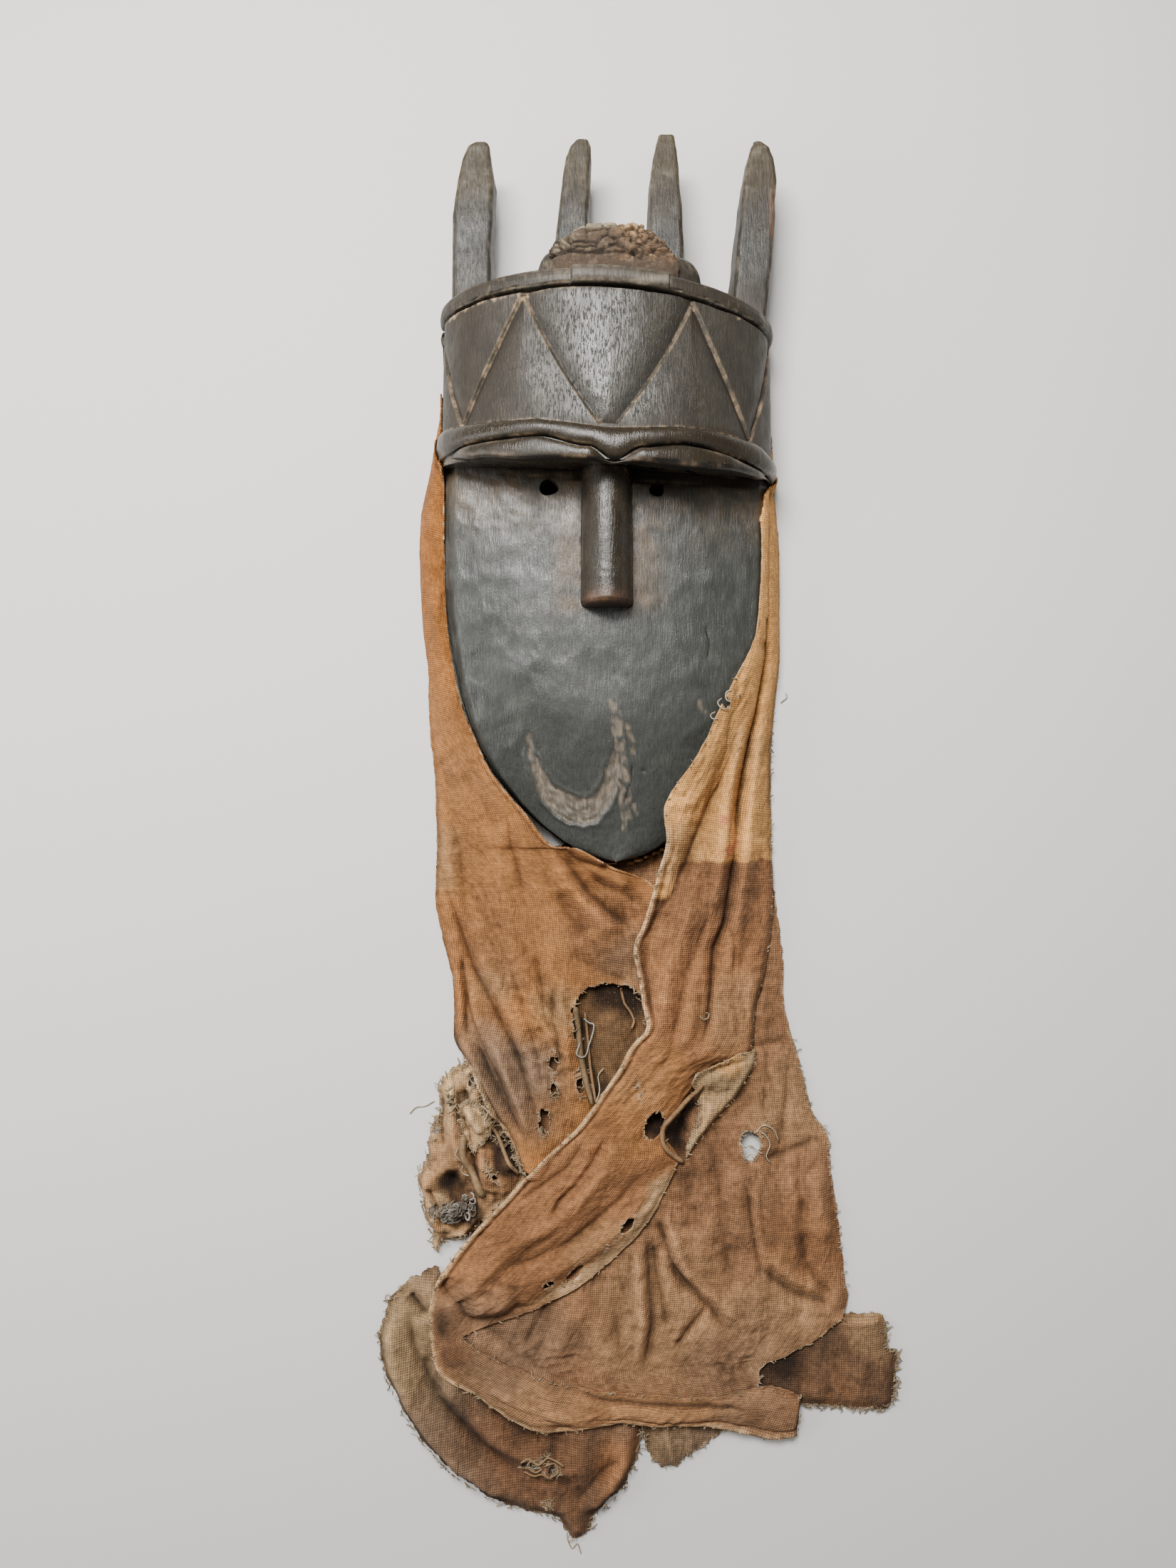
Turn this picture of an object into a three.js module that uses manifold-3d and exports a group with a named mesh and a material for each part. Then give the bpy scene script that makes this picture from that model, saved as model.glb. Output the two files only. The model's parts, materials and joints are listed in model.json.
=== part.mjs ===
// Toma mask: a carved wooden face with four horns and a worn cotton cape.
//
// It lies on the rim of its hollow back, face up. The drawing frame has x = 0 on the middle of
// the face, z = 0 on the ground and +Y from the chin to the horns, in millimetres. At the end the
// whole group is moved so that its origin is at the middle of its footprint.

import * as THREE from 'three';
import { mergeVertices } from 'three/addons/utils/BufferGeometryUtils.js';
import Module from 'manifold-3d';

const wasm = await Module();
wasm.setup();

// Face: a shield that narrows from the cheeks to a rounded chin
const faceHalfWidth = 119;
const cheekY = 180;
const chinY = -57;
const chinLean = 7;
const outlinePowers = [2.5, 0.58];
const crownHeight = 52;
const chinHeight = 37;
const edgeHeight = 34;
const chinEdgeHeight = 30;
const chinReach = 120;
const crownPower = 2.2;
const edgeDrop = 6;
const edgeStart = 0.93;
const undercut = 7;
const sideHeight = 20;
const faceInset = 3;
const wall = 13;
const rimWidth = 13;
const cutBelow = -5;

// Forehead: a half-round block that overhangs the face, with a bead along its top edge
const foreheadFoot = 28;
const foreheadRise = 72;
const foreheadHalfWidth = 119.5;
const foreheadBack = 14;
const foreheadCeiling = 325;
const hollowBrowY = 240;
const hollowTurn = 80;
const topY = 350.8;
const topSlope = -0.052;
const topBend = -0.00068;
const rimProfile = [
  [-17, 0], [-13.2, 0], [-12.4, -2.8], [-11.2, -2.8], [-10.6, 1.4], [-6, 2.6], [-1.5, 1.6], [0, 0],
];
const lipFromX = -27;
const lipToX = 43;
const lipProud = 4.5;
const lipHeight = 11;
const lipRise = 1;

// Brow: a long bead, and below it two leaf-shaped ridges that meet over the nose
const browTop = [[-119, 256], [-103, 253], [-60, 250], [6, 242], [60, 244], [101, 241], [119, 235]];
const browSeam = [
  [-119, 235], [-97, 237], [-50, 237], [-14, 229], [4, 221], [24, 228], [50, 231], [119, 222],
];
const browFoot = [[-119, 235], [-60, 224.5], [4, 221], [60, 220], [119, 222]];
const browProud = 6;
const leafProud = 9;
const browEndTurn = 98;
const browMeetingX = 4;
const seamGap = 0.5;
const bandSunk = 6;
const fullBandHalf = 5;

// Zigzag: one line of cuts across the forehead, as [x, y]; the outer ends run down its sides
const zigzag = [
  [-119.4, 335], [-103, 253], [-58, 336], [-6, 246], [6, 246], [58, 329], [101, 243], [119.4, 333],
];
const grooveRadius = 2.2;
const grooveProud = 0.5;

// Nose and eyes
const noseHalfWidth = 19;
const noseLowY = 127;
const noseBase = 50;
const noseTop = 81;
const noseSunk = 12;
const noseRows = [[0, 0.9], [2.5, 1], [60, 0.97], [108, 0.94]];
const eyes = [[-42, 214, 7, 5.75], [36, 212, 5.5, 5.2]];
const eyeRange = [10, 70];

// Horns: flat blades, each drawn by stations [y, left x, right x] of its front, from the foot up
const horns = [
  [[330, -110.5, -83], [385, -111.3, -84], [412, -111.2, -83.3], [436, -108, -82.3], [452, -103.8, -83.2],
    [460.5, -100, -84.3], [463.8, -95.5, -86.5]],
  [[330, -40, -16.5], [385, -37.5, -15.5], [412, -35, -14], [436, -32, -12.5], [452, -29.7, -11.5],
    [460.5, -26.5, -11.8], [465.8, -21.5, -14]],
  [[330, 30.5, 54], [385, 31, 54.6], [412, 31, 54.3], [436, 32, 52.8], [452, 33.3, 50.9],
    [463, 35.6, 49.6], [469.3, 37.2, 48.3]],
  [[330, 90.5, 114], [385, 93.8, 119], [412, 97, 121.9], [436, 99.2, 122.4], [452, 101.7, 120.3],
    [460, 104, 116.8], [464.3, 107.3, 110.5]],
];
const hornHeight = 42;
const hornHalfDepth = 11.5;
const hornThinning = 0.8;
const hornSpread = 4;

// Dome on the top plane, and the cracked crust that sits on it
const dome = { x: 8, y: 348, z: 60, radii: [59, 27, 28], bluntness: 8, roundness: 0.6 };
const crustFootY = 346;
const crustTopY = 389;
const crustMiddle = [6, 70];
const crustTopX = 8;
const crustHalf = [44, 24];
const crustSteps = [0.98, 1.02, 1.0, 0.96, 0.95, 0.9, 0.84, 0.78, 0.64];

// Cape: rows across each layer as [left x, y, z, right x, y, z], from the neck to the hem
const backRows = [
  [-49, -49, 4, 122, -11, 6], [-75, -163, 5, 137, -146, 9], [-87, -271, 5, 159, -257, 9],
  [-98, -374, 5, 185, -385, 10], [-87, -455, 5, 135, -441, 7], [-60, -488, 5, 122, -479, 5],
];
const leftRows = [
  [-126, 288, 6, -116, 288, 8], [-143, 190, 9, -112, 187, 20], [-138, 101, 10, -103, 87, 26],
  [-131, 20, 12, -61, -18, 33], [-129, -43, 12, -1, -59, 33], [-126, -130, 12, 42, -123, 18],
  [-115, -210, 12, 21, -220, 15], [-70, -290, 12, -32, -281, 15],
];
const rightRows = [
  [113, 264, 8, 126, 264, 6], [111, 183, 22, 132, 183, 12], [104, 105, 38, 133, 105, 12],
  [85, 59, 46, 131, 59, 12], [43, -11, 46, 128, -21, 13], [28, -79, 34, 130, -94, 15],
  [20, -119, 28, 124, -123, 18], [27, -171, 24, 115, -171, 20], [8, -216, 24, 111, -206, 18],
  [-38, -271, 24, 55, -290, 19], [-106, -344, 22, 10, -347, 18], [-138, -402, 18, -50, -397, 12],
  [-125, -448, 14, -62, -435, 9], [-86, -474, 12, -38, -449, 8], [-17, -493, 11, 13, -463, 9],
  [62, -493, 11, 62, -469, 10], [149, -502, 8, 150, -474, 8],
];
const tatter = [
  [-116, -216], [-132, -249], [-137, -277], [-147, -306], [-142, -332], [-133, -364], [-107, -350],
  [-60, -298], [-66, -269], [-99, -228],
];
const corner = [
  [-133, -372], [-157, -381], [-179, -419], [-171, -457], [-143, -502], [-86, -551], [-43, -564],
  [-27, -579], [7, -541], [24, -506], [24, -482], [-60, -437],
];
const scrap = [[25, -487], [33, -514], [47, -522], [75, -508], [95, -487]];
const tab = [[135, -400], [168, -411], [191, -411], [214, -409], [221, -475], [151, -476], [130, -460]];
const flatLayers = [[tatter, 8], [corner, 7], [scrap, 6], [tab, 6]];
const neckHole = [-1, -193, 19, 40];
const capeHoles = [[38, -256, 3.5, 5], [57, -264, 5.4, 9.3], [109, -275, 4.6, 6.5]];
const holeRange = [-1, 60];
const foldHeight = 3;
const clothThickness = 3;
const tentPower = 1.8;
const pieceGap = 0.4;

// Small helpers

const mix = THREE.MathUtils.lerp;
const ease = THREE.MathUtils.smoothstep;

// A sine or cosine pushed outwards, so that a round section turns into a soft square
function squared(value) {
  return Math.sign(value) * Math.abs(value) ** 0.3;
}

// Height of a line through a few [x, y] stations, eased from one to the next
function lineAt(stations, x) {
  const last = stations.length - 1;
  let index = 0;
  while (index < last - 1 && x > stations[index + 1][0]) {
    index += 1;
  }
  const [startX, startY] = stations[index];
  const [endX, endY] = stations[index + 1];
  return mix(startY, endY, ease(x, startX, endX));
}

function enclosedVolume(position, index) {
  const corners = [new THREE.Vector3(), new THREE.Vector3(), new THREE.Vector3()];
  let total = 0;
  for (let i = 0; i < index.length; i += 3) {
    corners.forEach((corner, j) => corner.fromBufferAttribute(position, index[i + j]));
    total += corners[0].dot(corners[1].cross(corners[2])) / 6;
  }
  return total;
}

// Turn a three.js geometry into a closed solid whose faces point outwards
function solidFrom(geometry) {
  geometry.deleteAttribute('normal');
  geometry.deleteAttribute('uv');
  const merged = mergeVertices(geometry, 1e-4);
  const index = [];
  for (let i = 0; i < merged.index.count; i += 3) {
    const [a, b, c] = [0, 1, 2].map((step) => merged.index.getX(i + step));
    if (a !== b && b !== c && c !== a) {
      index.push(a, b, c);
    }
  }
  if (enclosedVolume(merged.attributes.position, index) < 0) {
    index.reverse();
  }
  const vertProperties = new Float32Array(merged.attributes.position.array);
  const triVerts = new Uint32Array(index);
  return new wasm.Manifold(new wasm.Mesh({ numProp: 3, vertProperties, triVerts }));
}

function geometryFrom(solid) {
  const mesh = solid.getMesh();
  const geometry = new THREE.BufferGeometry();
  geometry.setAttribute('position', new THREE.BufferAttribute(new Float32Array(mesh.vertProperties), 3));
  geometry.setIndex([...mesh.triVerts]);
  geometry.computeVertexNormals();
  return geometry;
}

function moveVertices(geometry, place) {
  const position = geometry.attributes.position;
  const point = new THREE.Vector3();
  for (let i = 0; i < position.count; i += 1) {
    point.fromBufferAttribute(position, i);
    position.setXYZ(i, ...place(point));
  }
  return solidFrom(geometry);
}

// A closed tube shape: place(step around, step along, on the wall or in the middle of a cap)
function sleeve(around, along, place) {
  const drum = new THREE.CylinderGeometry(1, 1, 1, around, along);
  return moveVertices(drum, (point) => {
    const turn = Math.atan2(point.x, point.z) / (2 * Math.PI);
    const step = Math.round((turn + 1) * around) % around;
    const row = Math.round((point.y + 0.5) * along);
    return place(step, row, Math.hypot(point.x, point.z) > 0.5);
  });
}

function join(solids) {
  return solids.reduce((whole, solid) => whole.add(solid));
}

// Face

function outlineHalf(y, half, lowY) {
  const drop = THREE.MathUtils.clamp((cheekY - y) / (cheekY - lowY), 0, 1);
  return half * (1 - drop ** outlinePowers[0]) ** outlinePowers[1];
}

function leanAt(y) {
  return chinLean * ease(-y, -60, -chinY) ** 2;
}

function frontHeight(share, y) {
  const risen = ease(y, chinY, chinY + chinReach);
  const crown = mix(chinHeight, crownHeight, risen);
  const edge = mix(chinEdgeHeight, edgeHeight, risen);
  const rounded = edgeDrop * ease(Math.abs(share), edgeStart, 1);
  return edge + (crown - edge) * (1 - Math.abs(share) ** crownPower) - rounded;
}

// The rows crowd towards the chin, where the outline turns fastest; the last one stays blunt
function faceStations(count, lowY, highY) {
  const lastRow = 0.94;
  const crowding = 2.2;
  const stations = [highY];
  for (let i = 0; i < count; i += 1) {
    const drop = 1 - (1 - lastRow * (i / (count - 1))) ** crowding;
    stations.push(cheekY - drop * (cheekY - lowY));
  }
  return stations;
}

// The whole shield, up to the top plane, grown by an even amount where a clearance shape is wanted
function faceBlock(grow = 0) {
  const across = 20;
  const sides = [[1, sideHeight], [0.99, sideHeight / 2], [1 - undercut / faceHalfWidth, -grow]];
  const stations = faceStations(14, chinY - grow, foreheadCeiling);
  const around = across + 1 + 2 * sides.length;
  return sleeve(around, stations.length - 1, (step, row, onWall) => {
    const y = stations[row];
    const half = outlineHalf(y, faceHalfWidth + grow, chinY - grow);
    const yAt = (x) => (row === 0 ? topLine(x) - faceInset : y);
    if (!onWall) {
      return [leanAt(y), yAt(0), sideHeight];
    }
    if (step <= across) {
      const share = -Math.cos((Math.PI * step) / across);
      return [leanAt(y) + share * half, yAt(share * half), frontHeight(share, y) + grow];
    }
    const back = step - across - 1;
    const onRight = back < sides.length;
    const [share, z] = onRight ? sides[back] : sides[2 * sides.length - 1 - back];
    const setBack = (1 - z / chinEdgeHeight) * undercut * ease(-y, 0, -chinY);
    const sideX = (onRight ? 1 : -1) * share * half;
    return [leanAt(y) + sideX, yAt(sideX) + Math.max(setBack, 0), z];
  });
}

function faceHollow() {
  const across = 16;
  const half = faceHalfWidth - undercut - rimWidth;
  const lowY = chinY + undercut + rimWidth;
  const stations = faceStations(10, lowY, foreheadCeiling);
  return sleeve(across + 3, stations.length - 1, (step, row, onWall) => {
    const y = stations[row];
    const inner = outlineHalf(y, half, lowY);
    if (!onWall) {
      return [leanAt(y), y, sideHeight / 2];
    }
    if (step > across) {
      return [leanAt(y) + (step === across + 1 ? inner : -inner), y, cutBelow];
    }
    const share = -Math.cos((Math.PI * step) / across);
    return [leanAt(y) + share * inner, y, frontHeight((share * half) / faceHalfWidth, y) - wall];
  });
}

// Forehead

// A point on the half-round front, or on the straight side below it past a quarter turn
function foreheadPoint(degrees, out) {
  const turn = THREE.MathUtils.degToRad(THREE.MathUtils.clamp(degrees, -90, 90));
  const past = THREE.MathUtils.degToRad(Math.abs(degrees) - 90) * foreheadHalfWidth;
  const normal = new THREE.Vector2(foreheadRise * Math.sin(turn), foreheadHalfWidth * Math.cos(turn));
  normal.setLength(out);
  const x = foreheadHalfWidth * Math.sin(turn) + normal.x;
  const z = foreheadFoot + foreheadRise * Math.cos(turn) + normal.y;
  return [x, z - Math.max(past, 0)];
}

function turnAt(x) {
  return THREE.MathUtils.radToDeg(Math.asin(THREE.MathUtils.clamp(x / foreheadHalfWidth, -1, 1)));
}

function topLine(x) {
  return topY + topSlope * x + topBend * x * x;
}

function foreheadBlock(grow = 0) {
  const across = 28;
  return sleeve(across + 3, rimProfile.length, (step, row, onWall) => {
    const degrees = THREE.MathUtils.clamp(-90 + (180 * step) / across, -90, 90);
    const [rise, proud] = row === 0 ? [0, 0] : rimProfile[row - 1];
    const yAt = (x) => (row === 0 ? lineAt(browFoot, x) + 1 - grow : topLine(x) + rise + grow);
    if (!onWall) {
      return [0, yAt(0), foreheadFoot];
    }
    const [edgeX, edgeZ] = foreheadPoint(degrees, proud + grow);
    if (step <= across) {
      return [edgeX, yAt(edgeX), edgeZ];
    }
    const side = (step === across + 1 ? 1 : -1) * foreheadPoint(90, proud + grow)[0];
    return [side, yAt(side), foreheadBack];
  });
}

function foreheadHollow() {
  const across = 20;
  return sleeve(across + 3, 1, (step, row, onWall) => {
    const y = row === 0 ? hollowBrowY : foreheadCeiling;
    if (!onWall) {
      return [0, y, sideHeight];
    }
    if (step > across) {
      const half = faceHalfWidth - undercut - rimWidth;
      return [step === across + 1 ? half : -half, y, cutBelow];
    }
    const degrees = hollowTurn * ((2 * step) / across - 1);
    const [x, z] = foreheadPoint(degrees, -wall);
    return [x, y, z];
  });
}

// A raised band across the forehead, between two lines, rounded and sunk into the block
function band(fromTurn, toTurn, along, lowAt, highAt, proud, grow = 0) {
  const around = 10;
  const thinnestHalf = 0.9;
  return sleeve(around, along, (step, row, onWall) => {
    const degrees = mix(fromTurn, toTurn, row / along);
    const x = foreheadPoint(degrees, 0)[0];
    const half = Math.max((highAt(x) - lowAt(x)) / 2, thinnestHalf) + grow;
    const angle = (2 * Math.PI * step) / around;
    const height = Math.sin(angle) > 0 ? proud * Math.sin(angle) ** 0.7 : bandSunk * Math.sin(angle);
    const taper = Math.min(half / fullBandHalf, 1);
    const [edgeX, edgeZ] = foreheadPoint(degrees, onWall ? height * taper + grow : 0);
    const across = onWall ? half * Math.cos(angle) : 0;
    return [edgeX, (highAt(x) + lowAt(x)) / 2 + across, edgeZ];
  });
}

function browBands(grow = 0) {
  const meeting = turnAt(browMeetingX);
  const topAt = (x) => lineAt(browTop, x);
  const seamAt = (x) => lineAt(browSeam, x);
  const footAt = (x) => lineAt(browFoot, x);
  return [
    band(-browEndTurn, browEndTurn, 26, (x) => seamAt(x) + seamGap, topAt, browProud, grow),
    band(-browEndTurn, meeting, 12, footAt, (x) => seamAt(x) - seamGap, leafProud, grow),
    band(meeting, browEndTurn, 12, footAt, (x) => seamAt(x) - seamGap, leafProud, grow),
  ];
}

function lipBand(grow = 0) {
  const lowAt = (x) => topLine(x) - lipHeight;
  const highAt = (x) => topLine(x) + lipRise;
  return band(turnAt(lipFromX - grow), turnAt(lipToX + grow), 8, lowAt, highAt, lipProud, grow);
}

// One straight cut of the zigzag, following the round of the forehead
function groove(start, end) {
  const sides = 5;
  const circle = new THREE.EllipseCurve(0, 0, grooveRadius, grooveRadius);
  const section = new THREE.Shape(circle.getPoints(sides).slice(0, sides));
  const steps = 6;
  const points = [];
  for (let i = 0; i <= steps; i += 1) {
    const degrees = mix(turnAt(start[0]), turnAt(end[0]), i / steps);
    const [x, z] = foreheadPoint(degrees, grooveProud);
    points.push(new THREE.Vector3(x, mix(start[1], end[1], i / steps), z));
  }
  const extrudePath = new THREE.CatmullRomCurve3(points);
  return solidFrom(new THREE.ExtrudeGeometry(section, { steps, extrudePath }));
}

// Nose, eyes, horns and dome

function nose() {
  const around = 14;
  return sleeve(around, noseRows.length - 1, (step, row, onWall) => {
    const [rise, scale] = noseRows[row];
    const angle = (2 * Math.PI * step) / around;
    const lift = Math.sin(angle) > 0 ? noseTop - noseBase : noseSunk;
    const x = onWall ? noseHalfWidth * scale * Math.cos(angle) : 0;
    const z = noseBase + (onWall ? lift * scale * Math.sin(angle) : 0);
    return [x, noseLowY + rise, z];
  });
}

// An oval post from one height to another, to cut a hole straight through
function ovalPost([x, y, halfX, halfY], [lowZ, highZ]) {
  const around = 12;
  return sleeve(around, 1, (step, row, onWall) => {
    const angle = (2 * Math.PI * step) / around;
    const reach = onWall ? 1 : 0;
    return [x + reach * halfX * Math.cos(angle), y + reach * halfY * Math.sin(angle), row ? highZ : lowZ];
  });
}

// The sides of a horn lean outwards to its back, most of all at its foot
function horn(stations, grow = 0) {
  const around = 8;
  const last = stations.length - 1;
  return sleeve(around, last, (step, row, onWall) => {
    const [y, left, right] = stations[row];
    const level = row / last;
    const angle = (2 * Math.PI * step) / around;
    const side = onWall ? squared(Math.cos(angle)) : 0;
    const front = onWall ? squared(Math.sin(angle)) : 0;
    const half = (right - left) / 2 + mix(hornSpread, 0, level) * (0.5 - front / 2) + grow;
    const depth = hornHalfDepth * mix(1, hornThinning, level) + grow;
    return [(left + right) / 2 + half * side, y + (row === last ? grow : 0), hornHeight + depth * front];
  });
}

function domeBlock(grow = 0) {
  const [radiusX, radiusY, radiusZ] = dome.radii.map((radius) => radius + grow);
  return moveVertices(new THREE.SphereGeometry(1, 16, 8), (point) => {
    const reach = Math.min(Math.hypot(point.x, point.z), 1);
    const rise = Math.sign(point.y) * (1 - reach ** dome.bluntness) ** dome.roundness;
    return [dome.x + radiusX * point.x, dome.y + radiusY * rise, dome.z + radiusZ * point.z];
  });
}

function maskBody() {
  const carved = [faceBlock(), foreheadBlock(), nose(), lipBand(), domeBlock()];
  const whole = join([...carved, ...browBands(), ...horns.map((each) => horn(each))]);
  const cuts = [faceHollow(), foreheadHollow(), ...eyes.map((eye) => ovalPost(eye, eyeRange))];
  for (let i = 0; i + 1 < zigzag.length; i += 1) {
    cuts.push(groove(zigzag[i], zigzag[i + 1]));
  }
  return whole.subtract(join(cuts));
}

// Crust: a lumpy cap over the dome, in front of the inner horns

function crust() {
  const around = 16;
  const along = crustSteps.length - 1;
  const lump = sleeve(around, along, (step, row, onWall) => {
    const level = row / along;
    const angle = (2 * Math.PI * step) / around;
    const uneven = 1 + 0.06 * Math.sin(3 * angle + 2 * row) + 0.03 * Math.cos(5 * angle - row);
    const reach = onWall ? crustSteps[row] * uneven : 0;
    const x = mix(crustMiddle[0], crustTopX, level) + reach * crustHalf[0] * Math.cos(angle);
    const z = crustMiddle[1] + reach * crustHalf[1] * Math.sin(angle);
    return [x, mix(crustFootY, crustTopY, level), z];
  });
  const clearances = [foreheadBlock(pieceGap), domeBlock(pieceGap), lipBand(pieceGap)];
  return lump.subtract(join([...clearances, ...horns.map((each) => horn(each, pieceGap))]));
}

// Cape

function rowCurve(rows, offset) {
  return new THREE.CatmullRomCurve3(rows.map((row) => new THREE.Vector3(...row.slice(offset, offset + 3))));
}

// One layer of cloth, from the ground up to its folded top
function clothLayer(rows, columns, along, folds, height) {
  const leftEdge = rowCurve(rows, 0);
  const rightEdge = rowCurve(rows, 3);
  const sheet = new THREE.BoxGeometry(1, 1, 1, columns, along, 1);
  return moveVertices(sheet, (point) => {
    const level = 0.5 - point.y;
    const left = leftEdge.getPoint(level);
    const right = rightEdge.getPoint(level);
    const across = point.x + 0.5;
    const wave = Math.sin(2 * Math.PI * (folds * across + 1.3 * level)) * Math.sin(Math.PI * across);
    const hanging = mix(left.z, right.z, across ** tentPower);
    const top = Math.max(hanging + height * wave, clothThickness);
    return [mix(left.x, right.x, across), mix(left.y, right.y, across), point.z > 0 ? top : 0];
  });
}

function flatLayer(outline, height) {
  const shape = new THREE.Shape(outline.map(([x, y]) => new THREE.Vector2(x, y)));
  return solidFrom(new THREE.ExtrudeGeometry(shape, { depth: height, bevelEnabled: false }));
}

function cape() {
  const left = clothLayer(leftRows, 7, 16, 2, foldHeight).subtract(ovalPost(neckHole, holeRange));
  const right = clothLayer(rightRows, 7, 32, 2, foldHeight);
  const back = clothLayer(backRows, 9, 12, 3, foldHeight);
  const layers = [back, left, right, ...flatLayers.map(([outline, height]) => flatLayer(outline, height))];
  const holes = capeHoles.map((hole) => ovalPost(hole, holeRange));
  const clearance = join([faceBlock(pieceGap), foreheadBlock(pieceGap), ...browBands(pieceGap)]);
  return join(layers).subtract(join([...holes, clearance]));
}

// The three pieces

const wood = new THREE.MeshStandardMaterial({ color: 0x2a2725, roughness: 0.45, metalness: 0 });
const crustEarth = new THREE.MeshStandardMaterial({ color: 0x5a4738, roughness: 0.9, metalness: 0 });
const cotton = new THREE.MeshStandardMaterial({ color: 0x9c6b42, roughness: 0.95, metalness: 0 });

function piece(name, solid, material) {
  const mesh = new THREE.Mesh(geometryFrom(solid), material);
  mesh.name = name;
  return mesh;
}

const mask = new THREE.Group();
mask.add(piece('mask_body', maskBody(), wood));
mask.add(piece('crown_crust', crust(), crustEarth));
mask.add(piece('cape', cape(), cotton));

const footprint = new THREE.Box3().setFromObject(mask);
const middle = footprint.getCenter(new THREE.Vector3());
mask.position.set(-middle.x, -middle.y, -footprint.min.z);
mask.updateMatrixWorld(true);

export default mask;
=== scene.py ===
# %% [markdown]
# # A toma mask with horns and a worn cotton cape
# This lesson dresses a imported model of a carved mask. The real thing is one block of dark wood, a cracked
# crust on its top, and an old hand-woven cotton cloth that is fixed behind its rim. It lies on its hollow
# back, face up, and the camera hangs straight above it, as the photograph sees it.
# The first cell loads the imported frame. Everything after it is in metres, in the same frame.

import json
import math
import random

import bmesh
import bpy
import numpy as np
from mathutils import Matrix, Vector, noise

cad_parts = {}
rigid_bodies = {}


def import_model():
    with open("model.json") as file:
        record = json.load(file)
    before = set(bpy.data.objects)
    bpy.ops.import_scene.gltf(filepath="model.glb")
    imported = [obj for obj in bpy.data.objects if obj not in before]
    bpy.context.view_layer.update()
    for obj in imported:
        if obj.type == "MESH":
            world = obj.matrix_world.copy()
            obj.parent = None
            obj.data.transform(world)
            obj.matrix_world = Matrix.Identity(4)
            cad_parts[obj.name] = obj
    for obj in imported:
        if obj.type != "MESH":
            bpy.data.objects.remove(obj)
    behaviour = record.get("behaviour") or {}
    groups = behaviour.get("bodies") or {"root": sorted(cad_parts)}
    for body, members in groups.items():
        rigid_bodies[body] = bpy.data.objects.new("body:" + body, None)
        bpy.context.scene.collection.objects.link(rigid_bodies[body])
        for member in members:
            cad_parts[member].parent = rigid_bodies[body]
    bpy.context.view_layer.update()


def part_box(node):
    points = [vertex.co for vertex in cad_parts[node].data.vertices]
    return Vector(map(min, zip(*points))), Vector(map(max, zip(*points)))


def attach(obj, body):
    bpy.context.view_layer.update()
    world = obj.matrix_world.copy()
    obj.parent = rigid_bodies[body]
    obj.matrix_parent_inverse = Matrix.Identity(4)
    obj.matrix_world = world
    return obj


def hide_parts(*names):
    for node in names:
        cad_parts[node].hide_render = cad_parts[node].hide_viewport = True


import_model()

# %% [markdown]
# ## One ruler for the whole lesson
# The carving is drawn in millimetres, with x = 0 on the middle of the face, z = 0 on the ground and +Y
# towards the horns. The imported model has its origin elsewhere, at the middle of its footprint, so one vector
# carries a drawing point to the frame. It is read from the box of the carved node, never typed in.

# %% Ruler
MM = 0.001
mask_low, mask_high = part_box("mask_body")
CHIN_Y = -56.5
HOME = np.array([(mask_low.x + mask_high.x) / 2, mask_low.y - CHIN_Y * MM, 0.0])


def to_frame(points):
    """Drawing millimetres to metres in the frame."""
    return np.asarray(points, float) * MM + HOME


def ease(value, low, high):
    """A smooth step from 0 at low to 1 at high."""
    share = np.clip((np.asarray(value, float) - low) / (high - low), 0.0, 1.0)
    return share * share * (3 - 2 * share)


def mix(low, high, share):
    return low + (high - low) * share


def close_to(gap, width):
    """1 where the gap is 0, fading to 0 within about two widths."""
    return np.exp(-((gap / width) ** 2))


def between(value, rise_from, rise_to, fall_from, fall_to):
    """1 between an eased step up and an eased step down."""
    return ease(value, rise_from, rise_to) * (1 - ease(value, fall_from, fall_to))


def away_from_ends(share, reach):
    """1 along a line, easing to 0 at its two ends."""
    return ease(share, 0, reach) * ease(1 - share, 0, reach)


def squarish(value, power):
    """A sine or cosine raised to a power with its sign kept; below 1 it makes a rounder box."""
    return np.sign(value) * np.abs(value) ** power


def line_at(stations, x):
    """Height of a line through a few (x, y) stations, eased from one to the next."""
    x = np.asarray(x, float)
    height = np.full(x.shape, float(stations[0][1]))
    for (start_x, start_y), (end_x, end_y) in zip(stations, stations[1:]):
        height = height + (end_y - start_y) * ease(x, start_x, end_x)
    return height


print("the drawing's origin is at", [round(v, 4) for v in HOME])

# %% [markdown]
# ## Camera first
# The photograph was taken with a phone's wide lens from close by: the forehead, which is nearer, looks wider
# than the face. A long lens would lose that, so the camera stands at the same small distance. Its focal
# length is worked out in pixels of the 1650 by 2200 photograph and turned into millimetres on a 36 mm
# sensor.

# %% Camera
PHOTO_HEIGHT = 2200
FOCAL_PIXELS = 1652
EYE_HEIGHT = 0.9
CAMERA_X = -13.7

camera = bpy.data.objects.new("camera", bpy.data.cameras.new("camera"))
bpy.context.scene.collection.objects.link(camera)
camera.data.sensor_width = 36.0
camera.data.lens = camera.data.sensor_width * FOCAL_PIXELS / PHOTO_HEIGHT
camera.data.clip_start = 0.05
camera.data.clip_end = 20.0
camera.location = Vector(to_frame([CAMERA_X, 0, 0])) + Vector((0, 0, EYE_HEIGHT))
bpy.context.scene.camera = camera
print("lens in millimetres:", round(camera.data.lens, 2))

# %% [markdown]
# ## Making meshes from grids
# Nearly every piece here is a skin that was bent: a carved face, a bead, a fold of cloth. So one helper
# makes a flat grid with a bmesh operator and asks a function where each point goes. With `closed=True` the
# left and right sides of the grid meet, the doubles are merged and the two ends are filled, which turns the
# grid into a closed tube. Where a mark is finer than the grid, `finer` picks the edges that are split once
# more.

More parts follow.
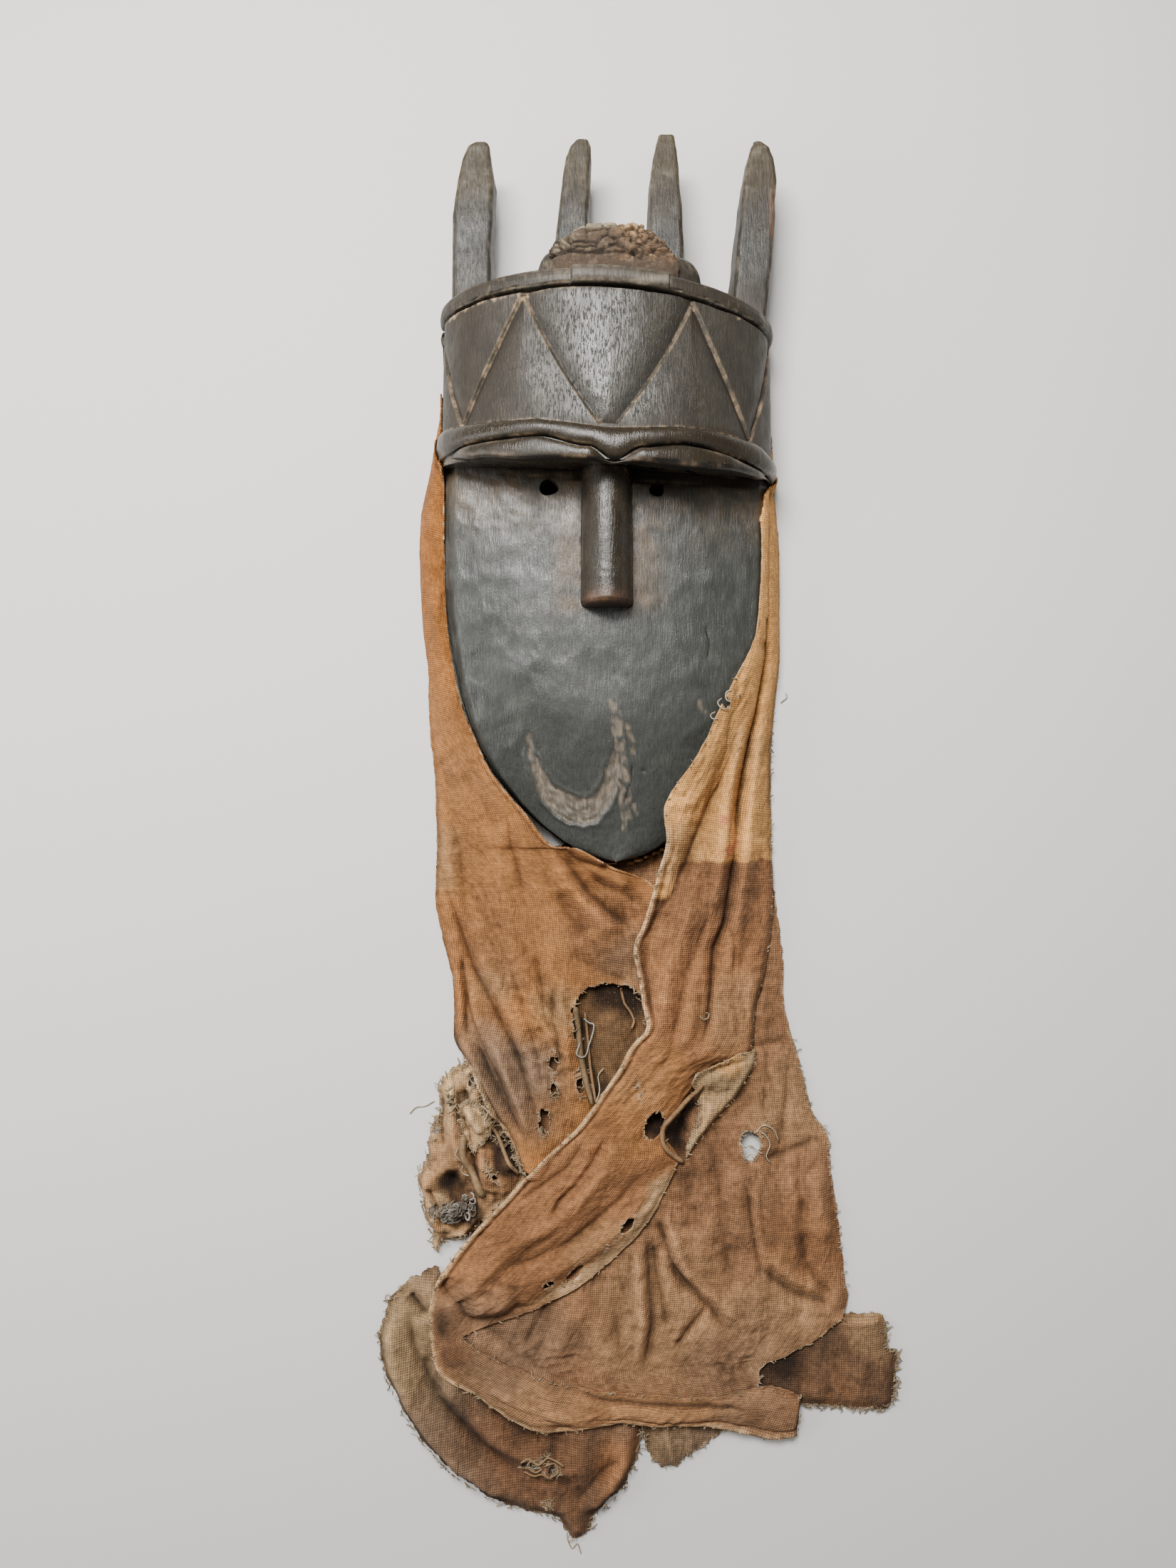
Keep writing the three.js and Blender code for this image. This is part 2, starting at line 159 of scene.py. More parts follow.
# %% Grid helper
scene_objects = bpy.context.scene.collection.objects


def add_object(name, data):
    piece = bpy.data.objects.new(name, data)
    scene_objects.link(piece)
    return piece


def mesh_object(name, shape):
    """A bmesh as a new object of the scene."""
    mesh = bpy.data.meshes.new(name)
    shape.to_mesh(mesh)
    shape.free()
    return add_object(name, mesh)


def keep_result(piece):
    """What the piece's modifiers show becomes its own mesh."""
    bpy.context.view_layer.update()
    shown = piece.evaluated_get(bpy.context.evaluated_depsgraph_get())
    result = bpy.data.meshes.new_from_object(shown)
    piece.modifiers.clear()
    piece.data = result


def grid_shares(shape):
    """u and v of every corner of a flat grid, both from 0 to 1."""
    flat = np.array([corner.co for corner in shape.verts])
    return flat[:, 0] + 0.5, flat[:, 1] + 0.5


def bend_grid(name, columns, rows, place, closed=False, finer=None):
    """A grid bent by place(u, v), which gives x, y and z in drawing millimetres."""
    shape = bmesh.new()
    bmesh.ops.create_grid(shape, x_segments=columns, y_segments=rows, size=0.5)
    if finer:
        shape.verts.index_update()
        chosen = finer(*grid_shares(shape))
        split = [edge for edge in shape.edges if any(chosen[corner.index] for corner in edge.verts)]
        bmesh.ops.subdivide_edges(shape, edges=split, cuts=1, use_grid_fill=True)
    x, y, z = place(*grid_shares(shape))
    for corner, point in zip(shape.verts, to_frame(np.column_stack([x, y, z]))):
        corner.co = point
    if closed:
        bmesh.ops.remove_doubles(shape, verts=shape.verts, dist=1e-6)
        bmesh.ops.holes_fill(shape, edges=shape.edges, sides=0)
        bmesh.ops.recalc_face_normals(shape, faces=shape.faces)
    return mesh_object(name, shape)


def combine(base, others, operation):
    """Join or cut solids, keep the result as the base's own mesh, and drop the tools."""
    for other in others:
        step = base.modifiers.new(operation, "BOOLEAN")
        step.operation = operation
        step.solver = "MANIFOLD"
        step.object = other
    keep_result(base)
    for other in others:
        bpy.data.objects.remove(other)
    return base


def read_vectors(items, name):
    """One vector of every point or face, a row for each."""
    flat = np.empty(len(items) * 3)
    items.foreach_get(name, flat)
    return flat.reshape(-1, 3)


def to_drawing(places):
    """Metres in the frame to drawing millimetres."""
    return (places - HOME) / MM


def points_of(piece):
    return to_drawing(read_vectors(piece.data.vertices, "co"))


def normals_of(piece):
    return read_vectors(piece.data.vertices, "normal")


def set_points(piece, points):
    piece.data.vertices.foreach_set("co", to_frame(points).ravel())
    piece.data.update()


def paint_points(piece, name, colours):
    """Store one linear colour for each point as the attribute that a material reads."""
    layer = piece.data.color_attributes.new(name, "FLOAT_COLOR", "POINT")
    layer.data.foreach_set("color", np.column_stack([colours, np.ones(len(colours))]).ravel())


def triangles_of(piece):
    return sum(len(face.vertices) - 2 for face in piece.data.polygons)


def report(piece):
    print(f"{piece.name}: {len(piece.data.vertices)} points, {triangles_of(piece)} triangles")


# %% [markdown]
# ## Tool marks by rule
# Adze dishes, grain and dents are heights in millimetres, added along the surface. Each comes from smooth
# noise at its own size, so nothing is random from run to run. Noise that is stretched along Y reads as wood
# grain. Marks that follow a drawn line, such as a cut, a fold or a scar, need the distance to that line.

# %% Noise and lines
def noise_at(points, size, stretch=(1, 1, 1), seed=0.0):
    """Smooth noise from about -1 to 1; size is the size of a bump in millimetres."""
    spread = points * (np.array(stretch, float) / size) + seed
    return np.array([noise.noise(Vector(point)) for point in spread])


def cells_at(points, size, seed=0.0):
    """Distances to the nearest and the second nearest of scattered centres, in cell sizes."""
    spread = points / size + seed
    return np.array([noise.voronoi(Vector(point))[0][:2] for point in spread])


def along_line(x, y, line):
    """Signed distance to a drawn line, left of its travel positive, and the share of its length."""
    line = np.asarray(line, float)
    steps = np.hypot(*np.diff(line, axis=0).T)
    starts = np.concatenate([[0], np.cumsum(steps)[:-1]])
    nearest = np.full(np.shape(x), 1e9)
    side = np.zeros(np.shape(x))
    share = np.zeros(np.shape(x))
    for start, end, length, before in zip(line, line[1:], steps, starts):
        way = (end - start) / length
        offset_x = x - start[0]
        offset_y = y - start[1]
        run = np.clip(offset_x * way[0] + offset_y * way[1], 0, length)
        gap = np.hypot(offset_x - run * way[0], offset_y - run * way[1])
        closer = gap < nearest
        cross = way[0] * offset_y - way[1] * offset_x
        nearest = np.where(closer, gap, nearest)
        side = np.where(closer, np.sign(cross), side)
        share = np.where(closer, (before + run) / steps.sum(), share)
    return nearest * np.where(side == 0, 1, side), share


# %% [markdown]
# ## The face
# The face is a shield: as wide as the forehead at the cheeks, then drawn in to a rounded chin. Its front is
# gently domed and its sides are undercut towards the back. It could be sculpted from a cube, but a grid
# keeps an even mesh on the front, where the dishes and scratches are, and spends almost nothing on the back.

# %% Face outline and front
FACE_HALF = 119.0
CHEEK_Y = 180.0
LOW_Y = -57.0
CHIN_LEAN = 7.0
CHIN_REACH = 120.0
CROWN = 52.0
CHIN_CROWN = 37.0
EDGE = 34.0
EDGE_DROP = 6.0
UNDERCUT = 7.0
WALL = 13.0
RIM = 13.0
TOP_Y = 350.8
TOP_SLOPE = -0.052
TOP_BEND = -0.00068
TOP_INSET = 3.0
CEILING_Y = 325.0


def top_line(x):
    """Height of the forehead's top edge, which sinks to the right and bows."""
    return TOP_Y + TOP_SLOPE * x + TOP_BEND * x * x


def outline_half(y, half=FACE_HALF, low=LOW_Y):
    drop = np.clip((CHEEK_Y - y) / (CHEEK_Y - low), 0.0, 1.0)
    return half * np.maximum(1 - drop**2.5, 0.0) ** 0.58


def lean_at(y):
    return CHIN_LEAN * ease(-np.asarray(y, float), -60, -LOW_Y) ** 2


def front_height(share, y):
    crown = mix(CHIN_CROWN, CROWN, ease(y, LOW_Y, LOW_Y + CHIN_REACH))
    edge = mix(EDGE - 4, EDGE, ease(y, LOW_Y, LOW_Y + CHIN_REACH))
    rounded = EDGE_DROP * ease(np.abs(share), 0.93, 1.0)
    return edge + (crown - edge) * (1 - np.abs(share) ** 2.2) - rounded


def face_rows(v, low, high):
    """Rows from the top down: few behind the forehead, most where the chin turns."""
    hidden, split = 0.03, 0.2
    drop = 1 - (1 - 0.975 * np.clip((v - split) / (1 - split), 0, 1)) ** 1.9
    upper = np.interp(v, [0, hidden, split], [high, 230.0, CHEEK_Y])
    return np.where(v < split, upper, CHEEK_Y - drop * (CHEEK_Y - low))


print("half width at the mouth:", round(float(outline_half(30.0)), 1), "mm")


# %% Face solid and its hollow
FRONT_SHARE = 0.84
CEILING_SHARE = 0.88


def face_place(u, v):
    y = face_rows(v, LOW_Y, TOP_Y)
    half = outline_half(y)
    turn = np.clip(u / FRONT_SHARE, 0, 1)
    share = -np.cos(np.pi * turn) * 0.35 + (2 * turn - 1) * 0.65
    across = np.clip((u - FRONT_SHARE) / (1 - FRONT_SHARE), 0, 1)
    knots = np.linspace(0, 1, 8)
    side_share = np.interp(across, knots, [1, 1, 0.99, 0.941, -0.941, -0.99, -1, -1])
    side_height = np.interp(across, knots, [28, 20, 9, 0, 0, 9, 20, 28])
    behind = u > FRONT_SHARE + 1e-6
    z = np.where(behind, side_height, front_height(share, y))
    set_back = np.where(behind, (1 - z / 30) * UNDERCUT * ease(-y, 0, -LOW_Y), 0.0)
    x = np.where(behind, side_share, share) * half + lean_at(y)
    rise = np.clip((y - CHEEK_Y) / (TOP_Y - CHEEK_Y), 0, 1)
    return x, y + rise * (top_line(x) - TOP_INSET - TOP_Y) + np.maximum(set_back, 0), z


def face_hollow_place(u, v):
    low = LOW_Y + UNDERCUT + RIM
    y = face_rows(v, low, CEILING_Y)
    half = outline_half(y, FACE_HALF - UNDERCUT - RIM, low)
    share = -np.cos(np.pi * np.clip(u / CEILING_SHARE, 0, 1))
    across = np.clip((u - CEILING_SHARE) / (1 - CEILING_SHARE), 0, 1)
    behind = u > CEILING_SHARE + 1e-6
    knots = [0, 0.25, 0.75, 1]
    z = np.where(behind, np.interp(across, knots, [21, -5, -5, 21]), front_height(share * 0.85, y) - WALL)
    share = np.where(behind, np.interp(across, knots, [1, 1, -1, -1]), share)
    return share * half + lean_at(y), y, z


face = bend_grid("mask", 206, 154, face_place, closed=True)
report(face)

# %% [markdown]
# ## The forehead
# The forehead is a half-round block that stands far out over the face. A bead runs along its top edge, with
# a deep dark groove under it, and a zigzag is cut into the field. It is drawn by its turn around the block,
# from -90 degrees at one side to 90 at the other, so the same numbers place a cut, a bead or a chip. Its
# underside is one flat plane, which stays a single clean face when the block is joined to the mask.

# %% Forehead frame
FOREHEAD_HALF = 119.5
FOREHEAD_FOOT = 28.0
FOREHEAD_RISE = 72.0
ARC_RADIUS = 95.0
BROW_TOP = [(-119, 256), (-103, 253), (-60, 250), (6, 242), (60, 244), (101, 241), (119, 235)]
BROW_SEAM = [(-119, 235), (-97, 237), (-50, 237), (-14, 229), (4, 219), (24, 228), (50, 231), (119, 222)]
BROW_FOOT = [(-119, 235), (-88, 226), (-53, 220.8), (4, 218.5), (47, 215.4), (104, 217), (119, 222)]
ZIGZAG = [(-119.4, 335), (-103, 253), (-58, 338), (-6, 246), (6, 246), (58, 331), (101, 243), (119.4, 333)]


def forehead_point(degrees, out):
    """x and z on the half-round front, or on the straight side below it past a quarter turn."""
    degrees = np.asarray(degrees, float)
    turn = np.radians(np.clip(degrees, -90, 90))
    past = np.maximum(np.radians(np.abs(degrees) - 90), 0) * FOREHEAD_HALF
    normal_x = FOREHEAD_RISE * np.sin(turn)
    normal_z = FOREHEAD_HALF * np.cos(turn)
    length = np.hypot(normal_x, normal_z)
    x = FOREHEAD_HALF * np.sin(turn) + out * normal_x / length
    z = FOREHEAD_FOOT + FOREHEAD_RISE * np.cos(turn) + out * normal_z / length
    return x, z - past


def turn_at(x):
    return np.degrees(np.arcsin(np.clip(np.asarray(x, float) / FOREHEAD_HALF, -1, 1)))


def arc_at(x):
    """Distance around the forehead from its middle, in millimetres."""
    return np.radians(turn_at(x)) * ARC_RADIUS


def bowed(start, end, bow, steps=8):
    """A cut of the zigzag: a line that bows a little to one side."""
    share = np.linspace(0, 1, steps)
    start_arc, end_arc = arc_at(start[0]), arc_at(end[0])
    belly = bow * np.sin(np.pi * share)
    return np.column_stack([mix(start_arc, end_arc, share) + belly, mix(start[1], end[1], share)])


BOWS = [-1.5, 2.5, -2.5, 0.0, 2.5, -2.5, 1.5]
ZIGZAG_CUTS = [bowed(start, end, bow) for start, end, bow in zip(ZIGZAG, ZIGZAG[1:], BOWS)]
MIDDLE_SIDE = [1, -1, 1, 1, 1, -1, 1]


def cut_distance(arc, y):
    """Distance to the nearest cut over the surface, positive on the side of the forehead's middle."""
    signed = np.array([side * along_line(arc, y, cut)[0] for side, cut in zip(MIDDLE_SIDE, ZIGZAG_CUTS)])
    nearest = np.abs(signed).argmin(axis=0)
    return np.take_along_axis(signed, nearest[None], axis=0)[0]


print("cuts of the zigzag:", len(ZIGZAG_CUTS))


# %% Forehead solid and its hollow
RIM_RISE = [-30, -13.5, -12.9, -11.9, -11.4, -9.6, -6.0, -2.2, -0.7, 0.0]
RIM_OUT = [0, 0, -3.0, -3.0, 1.6, 2.8, 3.2, 2.6, 1.6, 0.0]
RIM_BAND = 15.0
FIELD_SHARE = 0.7
FRONT_PART = 0.9


def underside(x, z):
    """The flat underside of the block, which hangs lower in front than beside the face."""
    return 228.0 - 0.034 * x - 0.115 * (z - 35)


def rows_between(low, high, v):
    """Height of a row; the rows crowd along the bead and its groove."""
    in_field = mix(low, high - RIM_BAND, v / FIELD_SHARE)
    return np.where(v < FIELD_SHARE, in_field, high - RIM_BAND * (1 - v) / (1 - FIELD_SHARE))


def forehead_rows(degrees, v):
    flat_x, flat_z = forehead_point(degrees, 0)
    high = top_line(flat_x)
    return rows_between(underside(flat_x, flat_z), high, v), high


def forehead_turn(u):
    return -90 + 180 * np.clip(u / FRONT_PART, 0, 1)


def near_cut(u, v):
    degrees = forehead_turn(u)
    y, high = forehead_rows(degrees, v)
    close = np.abs(cut_distance(np.radians(degrees) * ARC_RADIUS, y)) < 2.4
    return close & (high - y > 12) & (u < FRONT_PART)


def cut_depth(away):
    """A cut: a long gentle slope on one side, a short steep wall on the other."""
    gentle = np.exp(-((np.abs(away) / 4.6) ** 1.2))
    return np.where(away > 0, gentle, 1 - ease(-away, 0, 1.2))


def forehead_place(u, v):
    degrees = forehead_turn(u)
    y, high = forehead_rows(degrees, v)
    uneven = 0.45 * np.sin(degrees * 0.19) + 0.3 * np.sin(degrees * 0.47 + 1)
    bead = np.interp(y - high + uneven * ease(high - y, 2, 9), RIM_RISE, RIM_OUT)
    away = cut_distance(np.radians(degrees) * ARC_RADIUS, y)
    field = 1.7 * (1 - close_to(away, 17)) - 2.3 * cut_depth(away)
    x, z = forehead_point(degrees, bead + field * ease(high - y, 12.6, 13.8))
    behind = u > FRONT_PART + 1e-6
    across = np.clip((u - FRONT_PART) / (1 - FRONT_PART), 0, 1)
    knots = [0, 0.2, 0.4, 0.6, 0.8, 1]
    side = forehead_point(90, bead)[0]
    x = np.where(behind, side * np.interp(across, knots, [1, 1, 1, -1, -1, -1]), x)
    z = np.where(behind, np.interp(across, knots, [28, 21, 14, 14, 21, 28]), z)
    return x, np.where(behind, rows_between(underside(x, z), high, v), y), z


def forehead_hollow_place(u, v):
    ceiling_share = 0.85
    x, z = forehead_point(-80 + 160 * np.clip(u / ceiling_share, 0, 1), -WALL)
    behind = u > ceiling_share + 1e-6
    across = np.clip((u - ceiling_share) / (1 - ceiling_share), 0, 1)
    inner = FACE_HALF - UNDERCUT - RIM
    knots = [0, 0.3, 0.7, 1]
    x = np.where(behind, np.interp(across, knots, [105, inner, -inner, -105]), x)
    z = np.where(behind, np.interp(across, knots, [37, -5, -5, 37]), z)
    return x, mix(240.0, CEILING_Y, v), z


forehead = bend_grid("forehead", 256, 122, forehead_place, closed=True, finer=near_cut)
report(forehead)


# %% [markdown]
# ## Brow bands
# A long bead crosses above the eyes, and two leaf-shaped ridges meet over the nose. All three are raised
# bands between two drawn lines, and so is the lip of the top rim, so one function makes them. Each is a
# closed tube sunk into the block. Its section is a sine raised to a power: a low power gives the leaves a
# flat front with a sharp step, a higher one gives the bead a rounder back.

# %% Bands
def band(name, from_turn, to_turn, along, low_at, high_at, proud, round_off, sunk=6.0, around=28, ends=0.0):
    def place(u, v):
        degrees = mix(from_turn, to_turn, v)
        x = forehead_point(degrees, 0)[0]
        half = np.maximum((high_at(x) - low_at(x)) / 2, 0.3)
        angle = 2 * np.pi * u
        fade = ease(v, 0, ends) * ease(1 - v, 0, ends) if ends else 1.0
        raised = fade * proud * np.abs(np.sin(angle)) ** round_off
        lift = np.where(np.sin(angle) > 0, raised, sunk * np.sin(angle))
        edge_x, edge_z = forehead_point(degrees, lift * np.minimum(half / 5, 1))
        return edge_x, (high_at(x) + low_at(x)) / 2 + half * np.cos(angle), edge_z

    return bend_grid(name, around, along, place, closed=True)


def brow_top(x):
    return line_at(BROW_TOP, x)


def brow_seam(x):
    return line_at(BROW_SEAM, x)


def brow_foot(x):
    return line_at(BROW_FOOT, x)


MEETING = float(turn_at(4))
LIP_FROM = float(turn_at(-27))
LIP_TO = float(turn_at(43))
PAST_SIDE = 98
SEAM_GAP = 0.7
BEAD = {"proud": 6.0, "round_off": 0.62}
LEAF = {"proud": 9.0, "round_off": 0.24}
LIP = {"proud": 6.2, "round_off": 0.45, "ends": 0.05}


def bead_foot(x):
    return brow_seam(x) + SEAM_GAP


def leaf_top(x):
    return brow_seam(x) - SEAM_GAP


carved_bands = [
    band("brow_bead", -PAST_SIDE, PAST_SIDE, 200, bead_foot, brow_top, **BEAD),
    band("leaf_left", -PAST_SIDE, MEETING, 120, brow_foot, leaf_top, **LEAF),
    band("leaf_right", MEETING, PAST_SIDE, 120, brow_foot, leaf_top, **LEAF),
    band("lip", LIP_FROM, LIP_TO, 60, lambda x: top_line(x) - 12, lambda x: top_line(x) + 1, **LIP),
]
print("bands:", [piece.name for piece in carved_bands])

# %% [markdown]
# ## Nose, horns and dome
# The nose is a half cylinder with a flat worn end. The horns are flat blades that grow out of the top plane:
# each has a broad front, narrow sides and a shoulder that is more worn on its outer side. Their outlines are
# drawn by a few stations, left and right, because no two are alike.

# %% Nose
NOSE_HALF = 19.0
NOSE_Y = 127.0
NOSE_BASE = 50.0
NOSE_TOP = 81.0
NOSE_LENGTH = 108.0


def nose_place(u, v):
    rise = NOSE_LENGTH * v**1.6
    scale = np.interp(rise, [0, 1.2, 3.5, 60, NOSE_LENGTH], [0.84, 0.94, 1.0, 0.97, 0.94])
    angle = 2 * np.pi * u
    lift = np.where(np.sin(angle) > 0, NOSE_TOP - NOSE_BASE, 12.0)
    x = NOSE_HALF * scale * squarish(np.cos(angle), 0.86)
    return x, NOSE_Y + rise, NOSE_BASE + lift * scale * np.sin(angle)


nose = bend_grid("nose", 64, 60, nose_place, closed=True)
report(nose)

# %% Horns
# Stations are (y, left x, right x) of the broad front; the last one is the tip.
HORNS = [
    [(330, -110.5, -83), (385, -111.3, -84), (412, -111.2, -83.3), (436, -108, -82.3),
     (452, -103.8, -83.2), (460.5, -100, -84.3), (463.8, -95.5, -86.5)],
    [(330, -40, -16.5), (385, -37.5, -15.5), (412, -35, -14), (436, -32, -12.5), (452, -29.7, -11.5),
     (460.5, -26.5, -11.8), (465.8, -21.5, -14)],
    [(330, 30.5, 54), (385, 31, 54.6), (412, 31, 54.3), (436, 32, 52.8), (452, 33.3, 50.9),
     (463, 35.6, 49.6), (469.3, 37.2, 48.3)],
    [(330, 90.5, 114), (385, 93.8, 119), (412, 97, 121.9), (436, 99.2, 122.4), (452, 101.7, 120.3),
     (460, 104, 116.8), (464.3, 107.3, 110.5)],
]
HORN_Z = 42.0
HORN_DEPTH = 11.5
HORN_SPREAD = 4.0
HORN_CORNER = 2.2
TIP_EDGE = 1.6


def boxed(u, half_x, half_z, radius):
    """A point of a rectangle with small rounded corners."""
    turns = [0, 0.25, 0.5, 0.75, 1]
    side_x = np.interp(u, turns, [1, -1, -1, 1, 1])
    side_z = np.interp(u, turns, [1, 1, -1, -1, 1])
    edge_x, edge_z = half_x * side_x, half_z * side_z
    core_x = np.clip(edge_x, radius - half_x, half_x - radius)
    core_z = np.clip(edge_z, radius - half_z, half_z - radius)
    out = np.maximum(np.hypot(edge_x - core_x, edge_z - core_z), 1e-6)
    return core_x + radius * (edge_x - core_x) / out, core_z + radius * (edge_z - core_z) / out


def horn(number, stations):
    heights, lefts, rights = np.array(stations, float).T

    def place(u, v):
        level = 1 - (1 - np.minimum(v / 0.95, 1)) ** 1.35
        closing = np.clip((v - 0.95) / 0.05, 0, 1)
        inset = TIP_EDGE * (1 - np.cos(np.pi / 2 * closing))
        y = mix(heights[0], heights[-1] - TIP_EDGE, level) + TIP_EDGE * np.sin(np.pi / 2 * closing)
        left = np.interp(y, heights, lefts)
        right = np.interp(y, heights, rights)
        front = np.interp(u, [0, 0.25, 0.5, 0.75, 1], [1, 1, -1, -1, 1])
        half = (right - left) / 2 + HORN_SPREAD * (1 - level) * (0.5 - front / 2) - inset
        deep = HORN_DEPTH * mix(1, 0.8, level) - inset
        uneven = 0.35 * np.sin(y / 13 + number) + 0.2 * np.sin(y / 5 + 2 * number)
        x, z = boxed(u, half + 0.4 * uneven, deep, HORN_CORNER)
        return (left + right) / 2 + x + uneven, y, HORN_Z + z

    return bend_grid(f"horn_{number}", 56, 62, place, closed=True)


horns = [horn(number, stations) for number, stations in enumerate(HORNS, 1)]
print("horns:", len(horns))

# %% Dome and eye posts
EYES = [(-42, 214, 7, 5.75), (36, 212, 5.5, 5.2)]


def dome_place(u, v):
    angle = 2 * np.pi * u
    tilt = np.pi * (0.006 + 0.988 * v)
    reach = np.sin(tilt) ** 0.8
    rise = -np.sign(np.cos(tilt)) * (1 - reach**14) ** 0.5
    x = 8 + 59 * squarish(np.cos(angle), 0.7) * reach
    return x, 348 + (26 - 0.07 * x) * rise, 60 + 24 * squarish(np.sin(angle), 0.7) * reach


def eye_post(name, x, y, half_x, half_y):
    def place(u, v):
        angle = 2 * np.pi * u
        wobble = 1 + 0.05 * np.sin(3 * angle + x)
        return x + half_x * wobble * np.cos(angle), y + half_y * wobble * np.sin(angle), mix(10, 70, v)

    return bend_grid(name, 40, 1, place, closed=True)


dome = bend_grid("dome", 72, 44, dome_place, closed=True)
eye_posts = [eye_post(f"eye_{number}", *eye) for number, eye in enumerate(EYES)]
report(dome)

# %% Join and hollow
mask = combine(face, [forehead, *carved_bands, nose, *horns, dome], "UNION")
hollows = [
    bend_grid("face_hollow", 80, 66, face_hollow_place, closed=True),
    bend_grid("forehead_hollow", 80, 26, forehead_hollow_place, closed=True),
]
mask = combine(mask, [*hollows, *eye_posts], "DIFFERENCE")
mask.name = "carved_mask"
report(mask)

# %% [markdown]
# ## Weathering the wood
# The mask was smoothed with an adze and then handled for years. Shallow dishes cross the face, the grain
# opened a little, and an old scar by the chin is a U of bare, fibrous wood. These are real heights on the
# mesh, so they show in any light and stay in the exported model. The same lines then colour the surface.

# %% Marks on the wood
SCAR = [
    (-57, 34), (-54, 20), (-50, 6), (-43, -6), (-34, -14), (-24, -20), (-13, -21), (-4, -13), (1, -2),
    (4, 10), (6, 22),
]
SCAR_WIDTH = [3, 5, 7, 11, 15, 18, 19, 14, 12, 10, 5]
BARE_PATCHES = [
    ([(5, 58), (7, 46), (9, 32), (9, 20), (11, 8), (13, -6), (13, -22), (14, -31)], 8),
    ([(15, 42), (18, 30), (19, 20)], 3),
    ([(20, -13), (22, -22)], 2.5),
    ([(43, 134), (39, 128)], 2.5),
    ([(66, 60), (70, 52)], 3),
]
CRACKS = [
    ([(18.6, 17), (17.5, 2), (14.4, -7.7), (13, -17.5)], 0.7, 0.9),
    ([(21.7, 10.8), (32, 10.6)], 0.6, 1.2),
    ([(39, 131), (31, 122), (29, 112)], 0.5, 0.5),
    ([(72, 118), (74, 100), (73, 88)], 0.5, 0.5),
    ([(-96, 190), (-97, 165), (-94, 150)], 0.5, 0.4),
]


def wobbled(points, size, reach):
    """x and y shifted by noise, so that a drawn mark gets a natural edge."""
    shift = noise_at(points, size, seed=3.1)
    other = noise_at(points, size, seed=8.7)
    return points[:, 0] + reach * shift, points[:, 1] + reach * other


wood_points = points_of(mask)
wood_normals = normals_of(mask)
on_front = ease(wood_normals[:, 2], 0.05, 0.5) * ease(wood_points[:, 2], 24, 30)
inside = ease(-wood_normals[:, 2], 0.0, 0.5)
x, y = wobbled(wood_points, 9, 2.5)
away, share = along_line(x, y, SCAR)
scar_width = np.interp(share, np.linspace(0, 1, len(SCAR_WIDTH)), SCAR_WIDTH) / 2
scar = ease(scar_width + 1 - np.abs(away), 0, 2.5)
bare = np.zeros(len(wood_points))
for line, width in BARE_PATCHES:
    bare = np.maximum(bare, ease(width / 2 + 1 - np.abs(along_line(x, y, line)[0]), 0, 2))
fibre = noise_at(wood_points, 2.2, (1, 0.35, 1), 4.0)
bare = bare * ease(noise_at(wood_points, 5, seed=2.0) + 0.5, 0.1, 0.5)
below_brow = ease(-(wood_points[:, 1] - brow_foot(wood_points[:, 0])), 0, 2)
on_face = on_front * below_brow
print("points on the scar:", int((scar * on_face > 0.5).sum()))

# %% Move the wood's points
cells = cells_at(wood_points + 3 * noise_at(wood_points, 20, seed=1.5)[:, None], 15, 5.0)
dishes = np.clip(cells[:, 0], 0, 1) ** 2 * (0.35 + 0.65 * ease(np.abs(wood_points[:, 0] + 6), 25, 80))
on_nose = below_brow * ease(wood_points[:, 2], 54, 58) * ease(wood_points[:, 1], 122, 128)
on_nose = on_nose * (1 - ease(np.abs(wood_points[:, 0]), 19, 21))
on_skin = on_face * (1 - on_nose)
relief = on_skin * (1.2 * dishes + 0.8 * noise_at(wood_points, 34, seed=1.0))
relief += 0.18 * noise_at(wood_points, 6, seed=6.0) + on_face * 0.17 * noise_at(wood_points, 3.2, seed=6.5)
relief += 0.05 * noise_at(wood_points, 2.2, (1, 0.12, 1), 2.0)
relief += (1 - on_face) * 0.35 * noise_at(wood_points, 22, seed=9.0)
relief += inside * 1.1 * np.clip(cells_at(wood_points, 17, 1.0)[:, 0], 0, 1)
along_scar = np.column_stack([away, 45 * share, 0 * away])
streaks = noise_at(along_scar, 2.4, seed=17.0)
relief -= on_face * scar * (0.9 + 0.9 * fibre + 1.2 * streaks)
lip_beside = close_to(np.abs(away) - scar_width - 1.5, 1.6) * away_from_ends(share, 0.1)
relief += on_face * 0.9 * lip_beside
relief -= on_face * bare * (0.35 + 0.25 * fibre)
nx, ny, nz = np.abs(wood_normals).T
on_rim = ease(wood_points[:, 1], top_line(wood_points[:, 0]) - 11.6, top_line(wood_points[:, 0]) - 11)
on_tool = ease(wood_points[:, 1], 352, 360)
worn_edge = ease(np.maximum(nx * nz * on_tool, ny * nz) * 2, 0.4, 0.85) * on_rim
nicks = ease(noise_at(wood_points, 4.5, seed=14.0), 0.2, 0.5)
relief -= worn_edge * (0.15 + 0.7 * nicks)
scrapes = noise_at(wood_points, 3.2, (0.25, 1, 0.25), 15.0)
relief += ease(wood_points[:, 1], 400, 430) * 0.22 * scrapes
crack = np.zeros(len(wood_points))
for line, width, deep in CRACKS:
    gap, share = along_line(x, y, line)
    cut = on_face * close_to(gap, width) * away_from_ends(share, 0.15)
    relief -= deep * cut
    crack = np.maximum(crack, cut)
moved = wood_points + wood_normals * relief[:, None]
moved[:, 2] = np.maximum(moved[:, 2], 0)
set_points(mask, moved)
print("relief in mm, lowest and highest:", np.round([relief.min(), relief.max()], 2))

